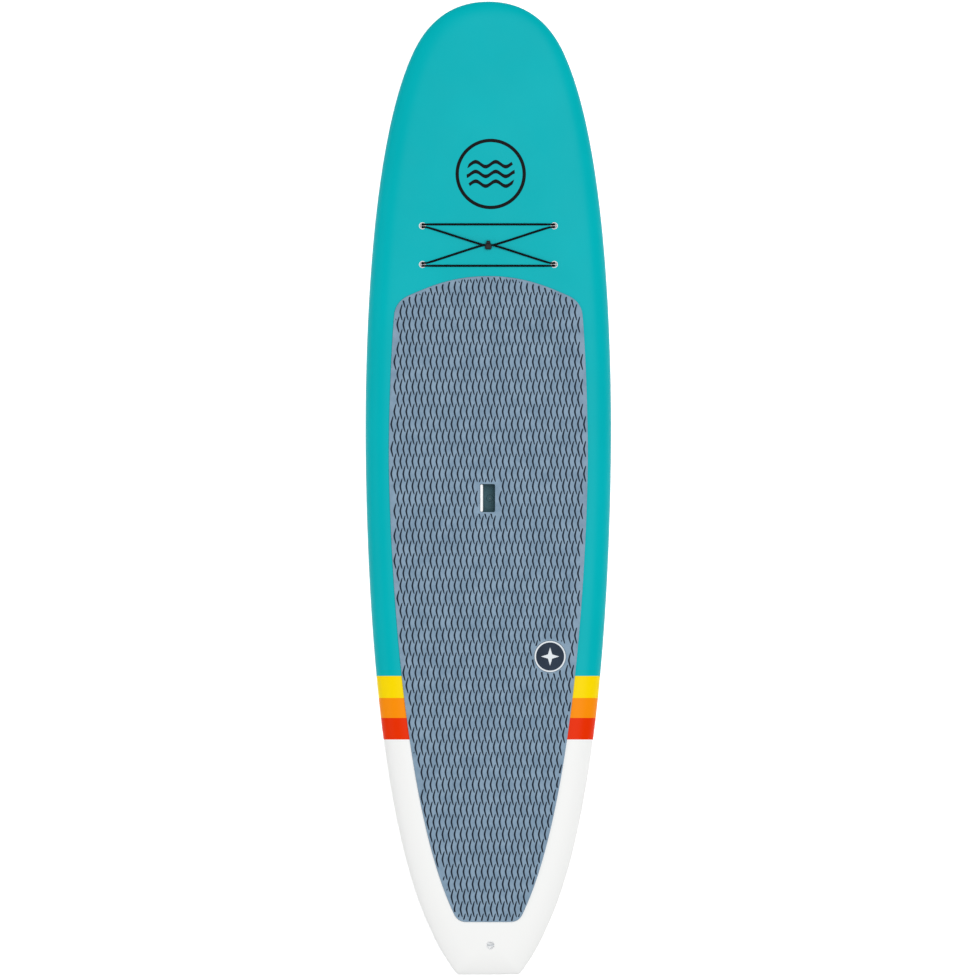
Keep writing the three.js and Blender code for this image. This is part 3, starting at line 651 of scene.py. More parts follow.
def foam(slot, light, dark, paint=None):
    """Closed-cell foam: fine cells, faint mottling, and a darker layer showing in its grooves."""
    look = Look(slot, Specular_IOR_Level=0.25, Sheen_Weight=0.15, Sheen_Roughness=0.6)
    colour = look.mix(look.ramp(look.noise(30.0, 5), *MIDDLE_NOISE), dark, light)
    speckle = look.ramp(look.noise(1400.0, 1), *MIDDLE_NOISE)
    colour = look.mix(look.math("MULTIPLY", speckle, SPECKLE_SHARE), colour, GROOVE_NAVY)
    if paint:
        colour = paint(look, colour)
    groove = look.ramp(look.attribute("groove"), 0.0, FULL_SHADE)
    colour = look.mix(groove, colour, GROOVE_NAVY)
    return look.finished(colour, look.ramp(speckle, 0, 1, 0.78, 0.92), look.cells(900.0), 0.0004, 0.6)


BADGE_RING = 0.0488
BADGE_STROKE = 0.005
STAR_ARM = 0.03
STAR_WAIST = 0.3


BADGE_WHITE = linear(232, 238, 242)


def badge_print(look, colour):
    """A white ring, and a four-pointed star in it."""
    centre = cad_centre("pad_badge") * MM
    x, y, _ = look.coordinates()
    dx = look.math("ABSOLUTE", look.math("SUBTRACT", x, centre.x))
    dy = look.math("ABSOLUTE", look.math("SUBTRACT", y, centre.y))
    mark = look.near(look.length(dx, dy), BADGE_RING, BADGE_STROKE)
    waist = look.math("DIVIDE", look.math("MINIMUM", dx, dy), STAR_WAIST)
    reach = look.math("ADD", look.math("MAXIMUM", dx, dy), waist)
    mark = look.math("MAXIMUM", mark, look.math("LESS_THAN", reach, STAR_ARM))
    return look.mix(mark, colour, BADGE_WHITE)


def plastic(slot, colour, roughness, grain=700.0, depth=0.00008, gloss=0.15):
    """Moulded plastic with a fine grain and slightly uneven colour and gloss."""
    look = Look(slot, Specular_IOR_Level=gloss)
    uneven = look.ramp(look.noise(90.0, 3), *MOST_NOISE, roughness - 0.06, roughness + 0.08)
    return look.finished(varied(look, colour, 0.06, 40.0), uneven, look.noise(grain, 2), depth)


def metal(slot, colour, roughness):
    """Drawn metal, with fine lines and slightly uneven gloss."""
    look = Look(slot, Metallic=1.0)
    lines = look.noise(1.0, 3, look.stretched(60.0, 2500.0, 2500.0))
    uneven = look.ramp(lines, *MOST_NOISE, roughness - 0.08, roughness + 0.1)
    return look.finished(varied(look, colour, 0.08, 120.0), uneven, lines, 0.00003)


STRANDS_PER_METRE = 170
STRANDS_ROUND = 8
BETWEEN_STRANDS = -0.4  # the lowest value that shows between two strands, from -1 to 1


def braid():
    """A braided sheath: two sets of strands wound opposite ways round the cord."""
    look = Look("bungee_sheath", Specular_IOR_Level=0.08)
    where = look.node("ShaderNodeUVMap", uv_map="along").outputs["UV"]
    split = look.node("ShaderNodeSeparateXYZ", {"Vector": where})
    along = look.math("MULTIPLY", split.outputs["X"], 2 * math.pi * STRANDS_PER_METRE)
    round_it = look.math("MULTIPLY", split.outputs["Y"], 2 * math.pi * STRANDS_ROUND)
    one = look.math("SINE", look.math("ADD", along, round_it))
    other = look.math("SINE", look.math("SUBTRACT", along, round_it))
    share = look.ramp(look.math("MAXIMUM", one, other), BETWEEN_STRANDS, 1.0)
    # Painted shade: the colour is darkest in the gaps between strands and lighter on their raised
    # crowns.
    colour = look.mix(share, linear(1, 1, 1), linear(17, 18, 20))
    return look.finished(colour, look.ramp(share, 0, 1, 0.9, 0.62), share, 0.0004)


def bead_foam():
    """Moulded polystyrene beads."""
    look = Look("foam_core", Specular_IOR_Level=0.3)
    share = look.ramp(look.cells(260.0), 0.0, 0.7)
    # Painted shade: the colour darkens from each bead's raised middle to the sunk line where beads
    # meet.
    colour = look.mix(share, linear(250, 250, 246), linear(224, 224, 218))
    height = look.math("SUBTRACT", 1.0, share)
    return look.finished(colour, look.ramp(share, 0, 1, 0.7, 0.95), height, 0.0008)


def planed_wood():
    """Softwood with its grain along the board."""
    look = Look("stringer_wood", Specular_IOR_Level=0.3)
    grain = look.noise(1.6, 6, look.stretched(90.0, 2.0, 90.0))
    colour = look.mix(look.ramp(grain, *MIDDLE_NOISE), linear(205, 166, 112), linear(150, 104, 60))
    return look.finished(colour, look.ramp(grain, *MOST_NOISE, 0.55, 0.75), grain, 0.0003)


THREADS = 9000.0  # radians of the weave's waves per metre


def woven_membrane():
    """A white membrane of crossed threads."""
    look = Look("vent_membrane", Specular_IOR_Level=0.2)
    waves = [look.math("SINE", look.math("MULTIPLY", way, THREADS)) for way in look.coordinates()[:2]]
    threads = look.math("MULTIPLY", *waves)
    # Painted shade: the weave is darker where it sinks and lighter where it rises.
    colour = look.mix(look.ramp(threads, -1, 1), linear(214, 214, 206), linear(240, 240, 234))
    return look.finished(colour, look.ramp(threads, -1, 1, 0.95, 0.8), threads, 0.0001)


LOOKS = dict([
    lacquer(),
    foam("pad_foam", FOAM_LIGHT, FOAM_DARK),
    foam("badge_foam", linear(42, 56, 74), linear(33, 46, 62), badge_print),
    plastic("slate_plastic", linear(62, 98, 108), 0.5),
    plastic("white_plastic", linear(252, 254, 255), 0.38, gloss=0.4),
    plastic("black_plastic", linear(18, 18, 20), 0.42),
    plastic("fin_plastic", linear(18, 18, 20), 0.36, grain=300.0, depth=0.00012, gloss=0.3),
    plastic("seal_rubber", linear(26, 26, 26), 0.75),
    braid(),
    metal("steel", linear(200, 204, 208), 0.3),
    metal("brass", linear(214, 176, 92), 0.32),
    bead_foam(),
    planed_wood(),
    woven_membrane(),
])

# ---- Foam sheets on the deck ----

CHAMFER = 1.2
FILLER = 45  # spacing of the points that make a sheet follow the deck
GROOVE_COLUMN = 19.8
GROOVE_ROW = 40.9
GROOVE_X, GROOVE_Y = -22.5, -280.7  # the middle of one groove
GROOVE_HALF_HEIGHT = 28
GROOVE_LEAN = 6.7
GROOVE_HALF_WIDTH = 3.4
GROOVE_DEPTH = 2.2
GROOVE_BEND = 0.15  # how round the grooves' corner is
GROOVE_TAPER = 0.22  # power with which a groove narrows to its ends
GROOVE_STATIONS = (-1, -0.87, -0.6, -0.3, -0.1, 0, 0.1, 0.3, 0.6, 0.87, 1)
GROOVE_TESTS = np.linspace(-1, 1, 31)  # where a groove is tried for whether it fits
SHORTEST_END = 6  # fewest tests that fit for a groove that keeps an end to be cut
SHORTEST_MIDDLE = 14  # and for one that loses both ends
GROOVE_MARGIN = 2  # between grooves and a sheet's edge


def shifted(loop, distance):
    """A closed loop moved sideways, to the left of the way it runs."""
    loop = np.array(loop, float)
    ahead = np.roll(loop, -1, 0) - loop
    ahead /= np.linalg.norm(ahead, axis=1)[:, None]
    left = np.stack([-ahead[:, 1], ahead[:, 0]], axis=1)
    left += np.roll(left, 1, 0)
    left /= (left**2).sum(1)[:, None] / 2
    return loop + distance * left


def inside(loop, points):
    """Which points lie inside a closed loop."""
    x, y = np.array(points, float).T
    found = np.zeros(len(x), bool)
    for (x0, y0), (x1, y1) in zip(loop, np.roll(loop, -1, 0)):
        if y0 != y1:
            crosses = (y0 > y) != (y1 > y)
            found ^= crosses & (x < x0 + (y - y0) / (y1 - y0) * (x1 - x0))
    return found


def in_sheet(outline, holes, points):
    found = inside(outline, points)
    for hole in holes:
        found &= ~inside(hole, points)
    return found


def groove_stroke(x, y, stations):
    """(point, share of full depth) down the left, middle and right of one groove."""
    lines = [[], [], []]
    for station in stations:
        bend = math.hypot(station, GROOVE_BEND) - GROOVE_BEND
        lean = GROOVE_LEAN * bend / (math.hypot(1, GROOVE_BEND) - GROOVE_BEND)
        full = (1 - abs(station)) ** GROOVE_TAPER
        for line, side in zip(lines, (-1, 0, 1)):
            place = (x + lean + side * GROOVE_HALF_WIDTH * full, y + GROOVE_HALF_HEIGHT * station)
            line.append((place, full if side == 0 else 0.0))
    return lines


def worth_cutting(found):
    """Whether the tests of a groove that fit are one run that's long enough to see."""
    if len(found) == 0 or found[-1] - found[0] != len(found) - 1:
        return False
    has_an_end = found[0] == 0 or found[-1] == len(GROOVE_TESTS) - 1
    return len(found) >= (SHORTEST_END if has_an_end else SHORTEST_MIDDLE)


def pointed(lines):
    """A groove's lines brought together at both ends, level with the sheet's top."""
    for end in (0, -1):
        tip = lines[1][end][0]
        for line in lines:
            line[end] = (tip, 0.0)
    return lines


def grooves(outline, holes):
    """All grooves of the pad as chains of (point, depth share), clear of its edges."""
    chains = []
    low, high = np.min(outline, 0), np.max(outline, 0)
    first_row = math.floor((low[1] - GROOVE_Y) / GROOVE_ROW)
    last_row = math.ceil((high[1] - GROOVE_Y) / GROOVE_ROW)
    for row in range(first_row, last_row + 1):
        start = GROOVE_X + (row % 2) * GROOVE_COLUMN / 2
        first = math.floor((low[0] - start) / GROOVE_COLUMN)
        for column in range(first, math.ceil((high[0] - start) / GROOVE_COLUMN)):
            corner = (start + column * GROOVE_COLUMN, GROOVE_Y + row * GROOVE_ROW)
            lines = groove_stroke(*corner, GROOVE_TESTS)
            fits = [in_sheet(outline, holes, [place for place, _ in line]) for line in lines]
            found = np.flatnonzero(np.all(fits, axis=0))
            if worth_cutting(found):
                first_fit, last_fit = GROOVE_TESTS[found[0]], GROOVE_TESTS[found[-1]]
                between = [s for s in GROOVE_STATIONS if first_fit < s < last_fit]
                chains += pointed(groove_stroke(*corner, [first_fit, *between, last_fit]))
    return chains


SAME_POINT = 1e-5


class Sheet:
    """A foam sheet on the deck, gathered as points in plan with heights over the deck."""

    def __init__(self):
        self.points = []
        self.shares = []
        self.faces = []

    def add(self, plan, lift, share=0.0):
        x, y = plan
        self.points.append((x, y, on_board(x, y)[0].z + lift))
        self.shares.append(share)
        return len(self.points) - 1

    def loop(self, plans, lift):
        return [self.add(plan, lift) for plan in plans]

    def wall(self, lower, upper):
        for i in range(len(lower)):
            after = (i + 1) % len(lower)
            self.faces.append((lower[i], lower[after], upper[after], upper[i]))

    def fill(self, outline, holes, loops, chains, lift):
        """Triangles between loops of points already made, through chains of (point, share)."""
        indices = [i for loop in loops for i in loop]
        plans = [self.points[i][:2] for i in indices]
        edges = []
        first = 0
        for loop in loops:
            edges += [(first + i, first + (i + 1) % len(loop)) for i in range(len(loop))]
            first += len(loop)
        known = {}
        for chain in chains:
            before = None
            for place, share in chain:
                key = (round(place[0], 2), round(place[1], 2))
                if key not in known:
                    known[key] = len(plans)
                    plans.append(place)
                    indices.append(self.add(place, lift - GROOVE_DEPTH * share, share))
                if before is not None:
                    edges.append((before, known[key]))
                before = known[key]
        flat = [Vector(plan) for plan in plans]
        made, _, faces, origins, _, _ = delaunay_2d_cdt(flat, edges, [], 0, SAME_POINT, True)
        corners = np.array([tuple(point) for point in made])
        middles = np.array([corners[list(face)].mean(0) for face in faces])
        place_of = {}
        for face, keep in zip(faces, in_sheet(outline, holes, middles)):
            if keep:
                for i in face:
                    if i not in place_of:
                        known_as = indices[origins[i][0]] if origins[i] else None
                        place_of[i] = self.add(made[i], lift) if known_as is None else known_as
                self.faces.append([place_of[i] for i in face])


def filler(outline, holes):
    """Single points on a grid inside a sheet, clear of its edges."""
    low, high = np.min(outline, 0), np.max(outline, 0)
    xs = np.arange(low[0], high[0], FILLER) + FILLER / 2
    ys = np.arange(low[1], high[1], FILLER) + FILLER / 2
    points = [(x, y) for x in xs for y in ys]
    return [[(point, 0.0)] for point, fits in zip(points, in_sheet(outline, holes, points)) if fits]


def foam_sheet(node, outline, holes, slot, margins=None):
    """A foam sheet with chamfered edges, and with grooves if margins gives the holes they avoid."""
    sheet = Sheet()
    edges = [outline, *holes]
    bottom = [sheet.loop(edge, GAP) for edge in edges]
    shoulder = [sheet.loop(edge, GAP + PAD - CHAMFER) for edge in edges]
    top = [sheet.loop(shifted(edge, CHAMFER), GAP + PAD) for edge in edges]
    for low, middle, high in zip(bottom, shoulder, top):
        sheet.wall(low, middle)
        sheet.wall(middle, high)
    top_outline, *top_holes = [shifted(edge, CHAMFER) for edge in edges]
    clear_outline, *clear_holes = [shifted(edge, GROOVE_MARGIN) for edge in edges]
    if margins is None:
        chains = filler(clear_outline, clear_holes)
    else:
        chains = grooves(clear_outline, margins)
    sheet.fill(top_outline, top_holes, top, chains, GAP + PAD)
    sheet.fill(outline, holes, bottom, filler(clear_outline, clear_holes), GAP)
    bm = mesh_of(sheet.points, sheet.faces)
    share_layer = bm.verts.layers.float.new("groove")
    for vert, share in zip(bm.verts, sheet.shares):
        vert[share_layer] = share
    bmesh.ops.delete(bm, geom=[vert for vert in bm.verts if not vert.link_faces], context="VERTS")
    bmesh.ops.recalc_face_normals(bm, faces=bm.faces)
    piece = remade(node, bm, slot, crease=22)
    return piece


# The starboard half of the deck pad's outline, from nose to tail, as for the board's but in
# millimetres.
PAD_OUTLINE = [
    ([(0, 697), (120, 697), (200, 660), (262, 633)], 16),
    ([(262, 633), (302, 615), (309, 575)], 12),
    ([(309, 575), (316, 510), (327, 290), (327, 110)], 12),
    ([(327, 110), (327, -130), (292, -1030), (113, -1400)], 40),
    ([(113, -1400), (101, -1427), (72, -1427)], 10),
    ([(72, -1427), (0, -1427)], 3),
]


def pad_outline():
    starboard = half_outline(PAD_OUTLINE)
    port = starboard[-2:0:-1] * (-1, 1)
    return np.concatenate([starboard, port])[::-1]


def circle(x, y, radius, steps=96):
    points = [(x + radius * math.cos(a), y + radius * math.sin(a)) for a in round_angles(steps)]
    return np.array(points)


HAND_MARGINS = (2, 7, 3)  # between grooves and the hand hold: to port, to starboard and at its ends
BADGE_CENTRE = cad_centre("pad_badge")
BADGE_RADIUS = (cad_corners("pad_badge")[1] - BADGE_CENTRE).x


def badge_circle(spread):
    return circle(BADGE_CENTRE.x, BADGE_CENTRE.y, BADGE_RADIUS + spread)


def deck_foam(opening):
    """The deck pad, with its opening over the hand hold, and the badge in its round hole."""
    (x0, y0), (x1, y1) = np.min(opening, 0), np.max(opening, 0)
    port, starboard, ends = HAND_MARGINS
    x0, x1, y0, y1 = x0 - port, x1 + starboard, y0 - ends, y1 + ends
    keep_clear = [np.array([(x0, y0), (x1, y0), (x1, y1), (x0, y1)]), badge_circle(GROOVE_MARGIN)]
    foam_sheet("deck_pad", pad_outline(), [opening, badge_circle(GAP)[::-1]], "pad_foam", keep_clear)
    foam_sheet("pad_badge", badge_circle(0), [], "badge_foam")


# ---- Hand hold ----

HAND_WIDTH = 49
HAND_LENGTH = 91
HAND_DEPTH = 55
HAND_WALL = 3
HAND_FLANGE = 7
HAND_RADIUS = 5
HAND_X, HAND_Y = -3, -33
OUTER_FILLET, INNER_FILLET, FLANGE_FILLET = 3, 3.5, 0.6
PAD_MARGIN = 0.5
LIP_DEPTH = 16
LIP_REACH = 24
BREATHER_RADIUS = 1.7
GRIP_CORNER = 4.7
GRIP_FILLETS = (2.5, 2.2)
GRIP_DENTS = (-30, -10, 10, 30)
DENT_RADIUS = 11
DENT_AXIS = -9.4  # over the grip's underside
VENT_X = 8


def hand_block(spread, z0, z1, low=0, high=0):
    """A block with the outline of the hand hold's opening, spread all round."""
    width, length = HAND_WIDTH + 2 * spread, HAND_LENGTH + 2 * spread
    return block(width, length, z0, z1, HAND_RADIUS + spread, low, high)


def under_grip(spread, z0, z1, fillet):
    """The same for the part of the cup that reaches out to port under the grip."""
    width = LIP_REACH + HAND_WIDTH / 2 + spread
    pocket = block(width, HAND_LENGTH + 2 * spread, z0, z1, HAND_RADIUS + spread, fillet, fillet)
    return moved(pocket, (width - HAND_WIDTH) / 2 - LIP_REACH - spread, 0, 0)


def hand_hold():
    """The moulded cup, its grip, and the vent in its floor. Returns the cup's frame."""
    place = Matrix.Translation((HAND_X, HAND_Y, cad_corners("handle_cup")[1].z))
    floor = HAND_WALL - HAND_DEPTH
    shell = joined(
        hand_block(HAND_WALL, -HAND_DEPTH, -SKIN, low=OUTER_FILLET),
        under_grip(HAND_WALL, -HAND_DEPTH, HAND_WALL - LIP_DEPTH, OUTER_FILLET),
        hand_block(HAND_FLANGE, -SKIN - GAP, 0, high=FLANGE_FILLET),
    )
    hollow = hand_block(0, floor, 1, low=INNER_FILLET)
    pocket = under_grip(0, floor, -LIP_DEPTH, INNER_FILLET)
    breather = moved(post(BREATHER_RADIUS, -HAND_DEPTH - 1, 0), VENT_X, 0, 0)
    remade("handle_cup", cut(shell, hollow, pocket, breather), "slate_plastic", place)
    hand_grip()
    vent(place @ Matrix.Translation((VENT_X, 0, floor)))
    return place


def hand_grip():
    """The white strip to pull on, with dents for the fingers along its underside."""
    low, high = cad_corners("handle_grip")
    size, middle = high - low, (low + high) / 2
    grip = block(size.x, size.y, 0, size.z, GRIP_CORNER, *GRIP_FILLETS)
    dents = [moved(pin_along_x(DENT_RADIUS, -20, 20, sides=40), 0, y, DENT_AXIS) for y in GRIP_DENTS]
    place = Matrix.Translation((middle.x, middle.y, low.z))
    remade("handle_grip", cut(grip, *dents), "white_plastic", place)


def hand_opening():
    """The pad's opening over the hand hold, clockwise."""
    size = (HAND_WIDTH + 2 * PAD_MARGIN, HAND_LENGTH + 2 * PAD_MARGIN)
    return np.array(rounded_loop(*size, HAND_RADIUS))[::-1] + (HAND_X, HAND_Y)


VENT_RADIUS = 11
VENT_TOP = 3
VENT_AIR = 1.5
MEMBRANE_SEAT = (5, 1)  # radius, height
RING_GROOVE = (7, 9, 1.5)  # inner radius, outer radius, height of its floor
CAP_RADIUS = 10.5
CAP_TOP = 5.8
CAP_SLOT = (14, 2, 1.2)  # length, width, depth
CAP_AIR = 1.2
RIM_NOTCHES = 12
NOTCH_RADIUS = 0.9


def vent(place):
    """The vent's body and its screwed cap, with a coin slot and a notched rim."""
    membrane, ledge = MEMBRANE_SEAT
    inner, outer, groove = RING_GROOVE
    profile = [
        (VENT_AIR, GAP), (VENT_RADIUS, GAP), (VENT_RADIUS, VENT_TOP), (outer, VENT_TOP),
        (outer, groove), (inner, groove), (inner, VENT_TOP),
        (membrane, VENT_TOP), (membrane, ledge), (VENT_AIR, ledge),
    ]
    remade("vent_body", turned(profile, 0.3), "slate_plastic", place)
    low = VENT_TOP + GAP
    cap = turned([(0, low), (CAP_RADIUS, low), (CAP_RADIUS, CAP_TOP), (0, CAP_TOP)], 0.7)
    length, width, depth = CAP_SLOT
    slot = block(length, width, CAP_TOP - depth, CAP_TOP + 2, 0.9)
    air = post(CAP_AIR, low - 1, CAP_TOP + 1)
    notches = []
    for angle in round_angles(RIM_NOTCHES):
        spot = angle + math.pi / RIM_NOTCHES
        notch = post(NOTCH_RADIUS, low - 1, CAP_TOP + 1, sides=16)
        notches.append(moved(notch, VENT_RADIUS * math.cos(spot), VENT_RADIUS * math.sin(spot), 0))
    remade("vent_cap", cut(cap, slot, air, added(*notches)), "slate_plastic", place)


# ---- Cups with a bar across ----

LEASH_CUP = {"flange": 13.5, "body": 12.4, "mouth": 11.4, "hole": 10.2, "depth": 22, "bar": 2.0}
INSERT_CUP = {"flange": 11.4, "body": 9.6, "mouth": 9.8, "hole": 8, "depth": 16, "bar": 1.25}
LEASH_BAR = -5.0  # height of its axis over the deck
INSERT_BAR = -4.5
CUP_FLARE = 4
CUP_WALL = 0.8
CUP_FLOOR = 2
CUP_RIM = 0.4


def cup(name, bar_name, size, bar_height):
    """A cup flush with the deck with a flared, rounded mouth, and the steel bar across it."""
    spot = cad_centre(name)
    place = deck_seat(spot.x, spot.y)
    shoulder, floor = -SKIN - GAP, CUP_FLOOR - size["depth"]
    corners = [
        (0, -size["depth"]), (size["body"], -size["depth"]), (size["body"], shoulder),
        (size["flange"], shoulder), (size["flange"], CUP_RIM), (size["mouth"], CUP_RIM),
        (size["hole"], -CUP_FLARE), (size["hole"], floor), (0, floor),
    ]
    end = size["body"] - CUP_WALL
    hole = moved(pin_along_x(size["bar"] + GAP / 2, -end, end), 0, 0, bar_height)
    remade(name, cut(turned(corners, 0.7), hole), "white_plastic", place)
    rod = moved(pin_along_x(size["bar"], GAP - end, end - GAP, 0.3), 0, 0, bar_height)
    remade(bar_name, rod, "steel", place)
    return place


# ---- Cord lock ----

LOCK_BACK, LOCK_FRONT = -14.5, 6.5
LOCK_WIDTH = 22
LOCK_HEIGHT = 17
LOCK_WALL = 1.4
LOCK_CORNER, LOCK_FILLETS = 6, (1.2, 2.4)
LOCK_RIBS = (-11, -8.5, -6)
LOCK_HOLES = (4.8, 12.2)
CORD_HOLE = CORD_RADIUS + 0.4
BUTTON_TRAVEL = 4
BUTTON_WIDTH = 13
BUTTON_BACK, BUTTON_FRONT = -5.5, 14.5
BUTTON_CORNER, BUTTON_FILLETS = 3, (0.5, 1.2)
BUTTON_RIDGES = (8.6, 10.4, 12.2)
BORE_BACK = -12.8
BORE_LOW, BORE_HIGH = LOCK_WALL, LOCK_HEIGHT - LOCK_WALL
SPRING_RADIUS = 3.8
SPRING_WIRE = 0.4
SPRING_TURNS = 3.5
SPRING_STEPS = 140


def cord_holes(slack):
    """Cutters for the lock's two cord holes, made longer towards the nose by slack."""
    size = 2 * CORD_HOLE
    holes = []
    for height in LOCK_HOLES:
        hole = block(size, size + slack, -LOCK_WIDTH, LOCK_WIDTH, CORD_HOLE - 0.01)
        holes.append(moved(moved(hole, ALONG_X), 0, slack / 2, height))
    return added(*holes)


def scores(top, width, depth, places):
    """Cutters for thin grooves across a top face, at places along Y."""
    size = (30, width, top - depth, top + 2, width / 2 - LEAST_RADIUS)
    return added(*[moved(block(*size), 0, y, 0) for y in places])


def cord_lock():
    """The lock's ribbed body, its sprung button and the spring. Returns the lock's origin."""
    low, high = cad_corners("cord_lock_body")
    place = Matrix.Translation(((low.x + high.x) / 2, low.y - LOCK_BACK, low.z))
    outer = block(LOCK_WIDTH, LOCK_FRONT - LOCK_BACK, 0, LOCK_HEIGHT, LOCK_CORNER, *LOCK_FILLETS)
    outer = moved(outer, 0, (LOCK_FRONT + LOCK_BACK) / 2, 0)
    half = BUTTON_WIDTH / 2 + GAP
    bore = box((-half, BORE_BACK, BORE_LOW), (half, LOCK_FRONT + 1, BORE_HIGH))
    lock = cut(outer, bore, cord_holes(0), scores(LOCK_HEIGHT, 1.1, 0.6, LOCK_RIBS))
    remade("cord_lock_body", lock, "black_plastic", place)

    button = block(BUTTON_WIDTH, BUTTON_FRONT - BUTTON_BACK, BORE_LOW + GAP, BORE_HIGH - GAP,
                   BUTTON_CORNER, *BUTTON_FILLETS)
    button = moved(button, 0, (BUTTON_FRONT + BUTTON_BACK) / 2, 0)
    button = cut(button, cord_holes(BUTTON_TRAVEL), scores(BORE_HIGH, 0.9, 0.8, BUTTON_RIDGES))
    remade("cord_lock_button", button, "black_plastic", place, rides_on="lock_button")
    lock_spring(place)
    return place.translation


def lock_spring(place):
    """The coil spring behind the button."""
    start, end = BORE_BACK + SPRING_WIRE + GAP, BUTTON_BACK - SPRING_WIRE - GAP
    coil = []
    for step in range(SPRING_STEPS + 1):
        angle = 2 * math.pi * SPRING_TURNS * step / SPRING_STEPS
        x, z = SPRING_RADIUS * math.cos(angle), SPRING_RADIUS * math.sin(angle)
        coil.append((x, start + (end - start) * step / SPRING_STEPS, LOCK_HEIGHT / 2 + z))
    wire = tube(coil, [SPRING_WIRE] * len(coil), 10)
    spring = remade("cord_lock_spring", wire, "steel", place)
    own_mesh(spring)


# ---- Bungee ----

CORD_LIFT = CORD_RADIUS + 0.5
CORD_RELAXED = 3.5  # radius where nothing squeezes the cord
SQUEEZE_REACH = 18  # from a tight spot to where the cord starts to relax, and on to where it has
WRAP_RADIUS = 4.6
EXIT_RADIUS = 7
LEAD_IN = 1.8  # start of the cord's way into an insert, in exit radii
CORD_SIDES = 20
CORD_SPACING = 3.0
SINE_45 = math.sqrt(0.5)


def under_bar(place, inboard, first):
    """The cord's points down into an insert, under its bar and out again."""
    bend_floor = CORD_LIFT - EXIT_RADIUS
    slant = EXIT_RADIUS * (1 - SINE_45)

    def way(sign):
        return [
            (inboard * LEAD_IN * EXIT_RADIUS, sign * WRAP_RADIUS, CORD_LIFT),
            (inboard * EXIT_RADIUS, sign * WRAP_RADIUS, CORD_LIFT),
            (inboard * slant, sign * WRAP_RADIUS, bend_floor + EXIT_RADIUS * SINE_45),
            (0, sign * WRAP_RADIUS, bend_floor),
        ]

    diagonal = WRAP_RADIUS * SINE_45
    route = [
        *way(first),
        (0, first * diagonal, INSERT_BAR - diagonal),
        (0, 0, INSERT_BAR - WRAP_RADIUS),
        (0, -first * diagonal, INSERT_BAR - diagonal),
        *reversed(way(-first)),
    ]
    return [place @ Vector(point) for point in route]


def across_deck(y, half_span):
    """A straight run of the cord that lies on the deck from port to starboard."""
    xs = [share * half_span for share in (-0.5, 0, 0.5)]
    lift = CORD_LIFT + CORD_RELAXED - CORD_RADIUS
    return [Vector((x, y, on_board(x, y)[0].z + lift)) for x in xs]


def cord_radii(route, tight_spots):
    """The cord's radius along its route, least where the lock or an insert squeezes it."""
    radii = []
    for point in route:
        distance = min((point - spot).length for spot in tight_spots)
        share = min(1, max(0, (distance - SQUEEZE_REACH) / SQUEEZE_REACH))
        radii.append(CORD_RADIUS + (CORD_RELAXED - CORD_RADIUS) * share)
    return radii


def bungee(lock, inserts):
    """The cord from the lock round the four inserts and back, both ends held in the lock."""
    fore_port, fore_starboard, aft_port, aft_starboard = inserts
    half_lock = LOCK_WIDTH / 2 + 2
    low, high = LOCK_HOLES
    fore_y = fore_port.translation.y + WRAP_RADIUS
    aft_y = aft_port.translation.y - WRAP_RADIUS
    half_span = fore_starboard.translation.x

    def in_lock(height, *xs):
        return [lock + Vector((x, 0, height)) for x in xs]

    points = [
        *in_lock(high, -GAP, -half_lock / 2, -half_lock),
        *under_bar(fore_port, 1, -1),
        *across_deck(fore_y, half_span),
        *under_bar(fore_starboard, -1, 1),
        *in_lock(low, half_lock, 0, -half_lock),
        *under_bar(aft_port, 1, 1),
        *across_deck(aft_y, half_span),
        *under_bar(aft_starboard, -1, -1),
        *in_lock(high, half_lock, half_lock / 2, GAP),
    ]
    route = smooth_route(points, CORD_SPACING)
    tight_spots = [lock, *[place.translation for place in inserts]]
    cord = tube(route, cord_radii(route, tight_spots), CORD_SIDES)
    remade("bungee_cord", cord, "bungee_sheath", crease=60)


# ---- Fins ----

BOX_SLOT = (10, 254, 24)  # width, length, depth
BOX_BODY = (25, 266, 28)
BOX_FLANGE = (33, 276, 12)  # width, length, corner radius
BOX_GROOVE = (18, 12, 18)  # width, and the depths between which it lies
SLOT_CORNER = 4.9
FIN = {"root": 172, "height": 229, "rake": 172, "thickness": 9}
FIN_SHIFT = -12
TAB_TOP = 11
TONGUE = 21
HEEL = 18
SCREW_HEAD = 2.7
PIN_SETBACK = 20
PIN_RADIUS = 2
SIDE_X, SIDE_Y = 190, -1130
SIDE_TOE = math.radians(3)
SIDE_CANT = math.radians(5)
SIDE_FIN = {"root": 110, "height": 114, "rake": 92, "thickness": 6.4}
SIDE_BOX = (24, 124, 15)  # width, length, depth
SIDE_SLOT = (7.2, 104)
SIDE_CORNER = 10
GRUB_X, GRUB_Y, GRUB_RADIUS = 7.4, 34, 2
ROOT_GAP = 1.5
FIN_TIP = 0.4  # thickness at the tip, as a share of the root's
TIP_ROUNDING = 0.2  # chord under which a blade thins out to its tip, as a share of the root's
THINNEST_EDGE = 0.06  # of the greatest half thickness
FIN_LEVELS = 26
CHORD_STEPS = 14


def fin_edges(root, height, rake):
    """(y, z) points up the front and the back of a fin, from its root to its tip."""
    tip = (0.5 * root - rake, -height)
    shoulder = (0.41 * root - rake, -0.965 * height)
    front = bezier([(root / 2, -ROOT_GAP), (0.36 * root, -0.35 * height),
                    (0.5 * root - 0.55 * rake, -0.87 * height), tip], 60)
    back = bezier([(-0.48 * root, -ROOT_GAP), (-0.4 * root, -0.3 * height),
                   (0.5 * root - rake, -0.75 * height), shoulder], 60)
    end = bezier([shoulder, (0.42 * root - rake, -height), tip], 12)
    return np.concatenate([front, [tip]]), np.concatenate([back, end, [tip]])


def section_half_width(share):
    """A symmetrical foil's half thickness, from 0 to 1, at a share of its chord from the front."""
    shape = (0.2969 * share**0.5 - 0.126 * share - 0.3516 * share**2
             + 0.2843 * share**3 - 0.1036 * share**4)
    return max(shape / 0.1, THINNEST_EDGE)


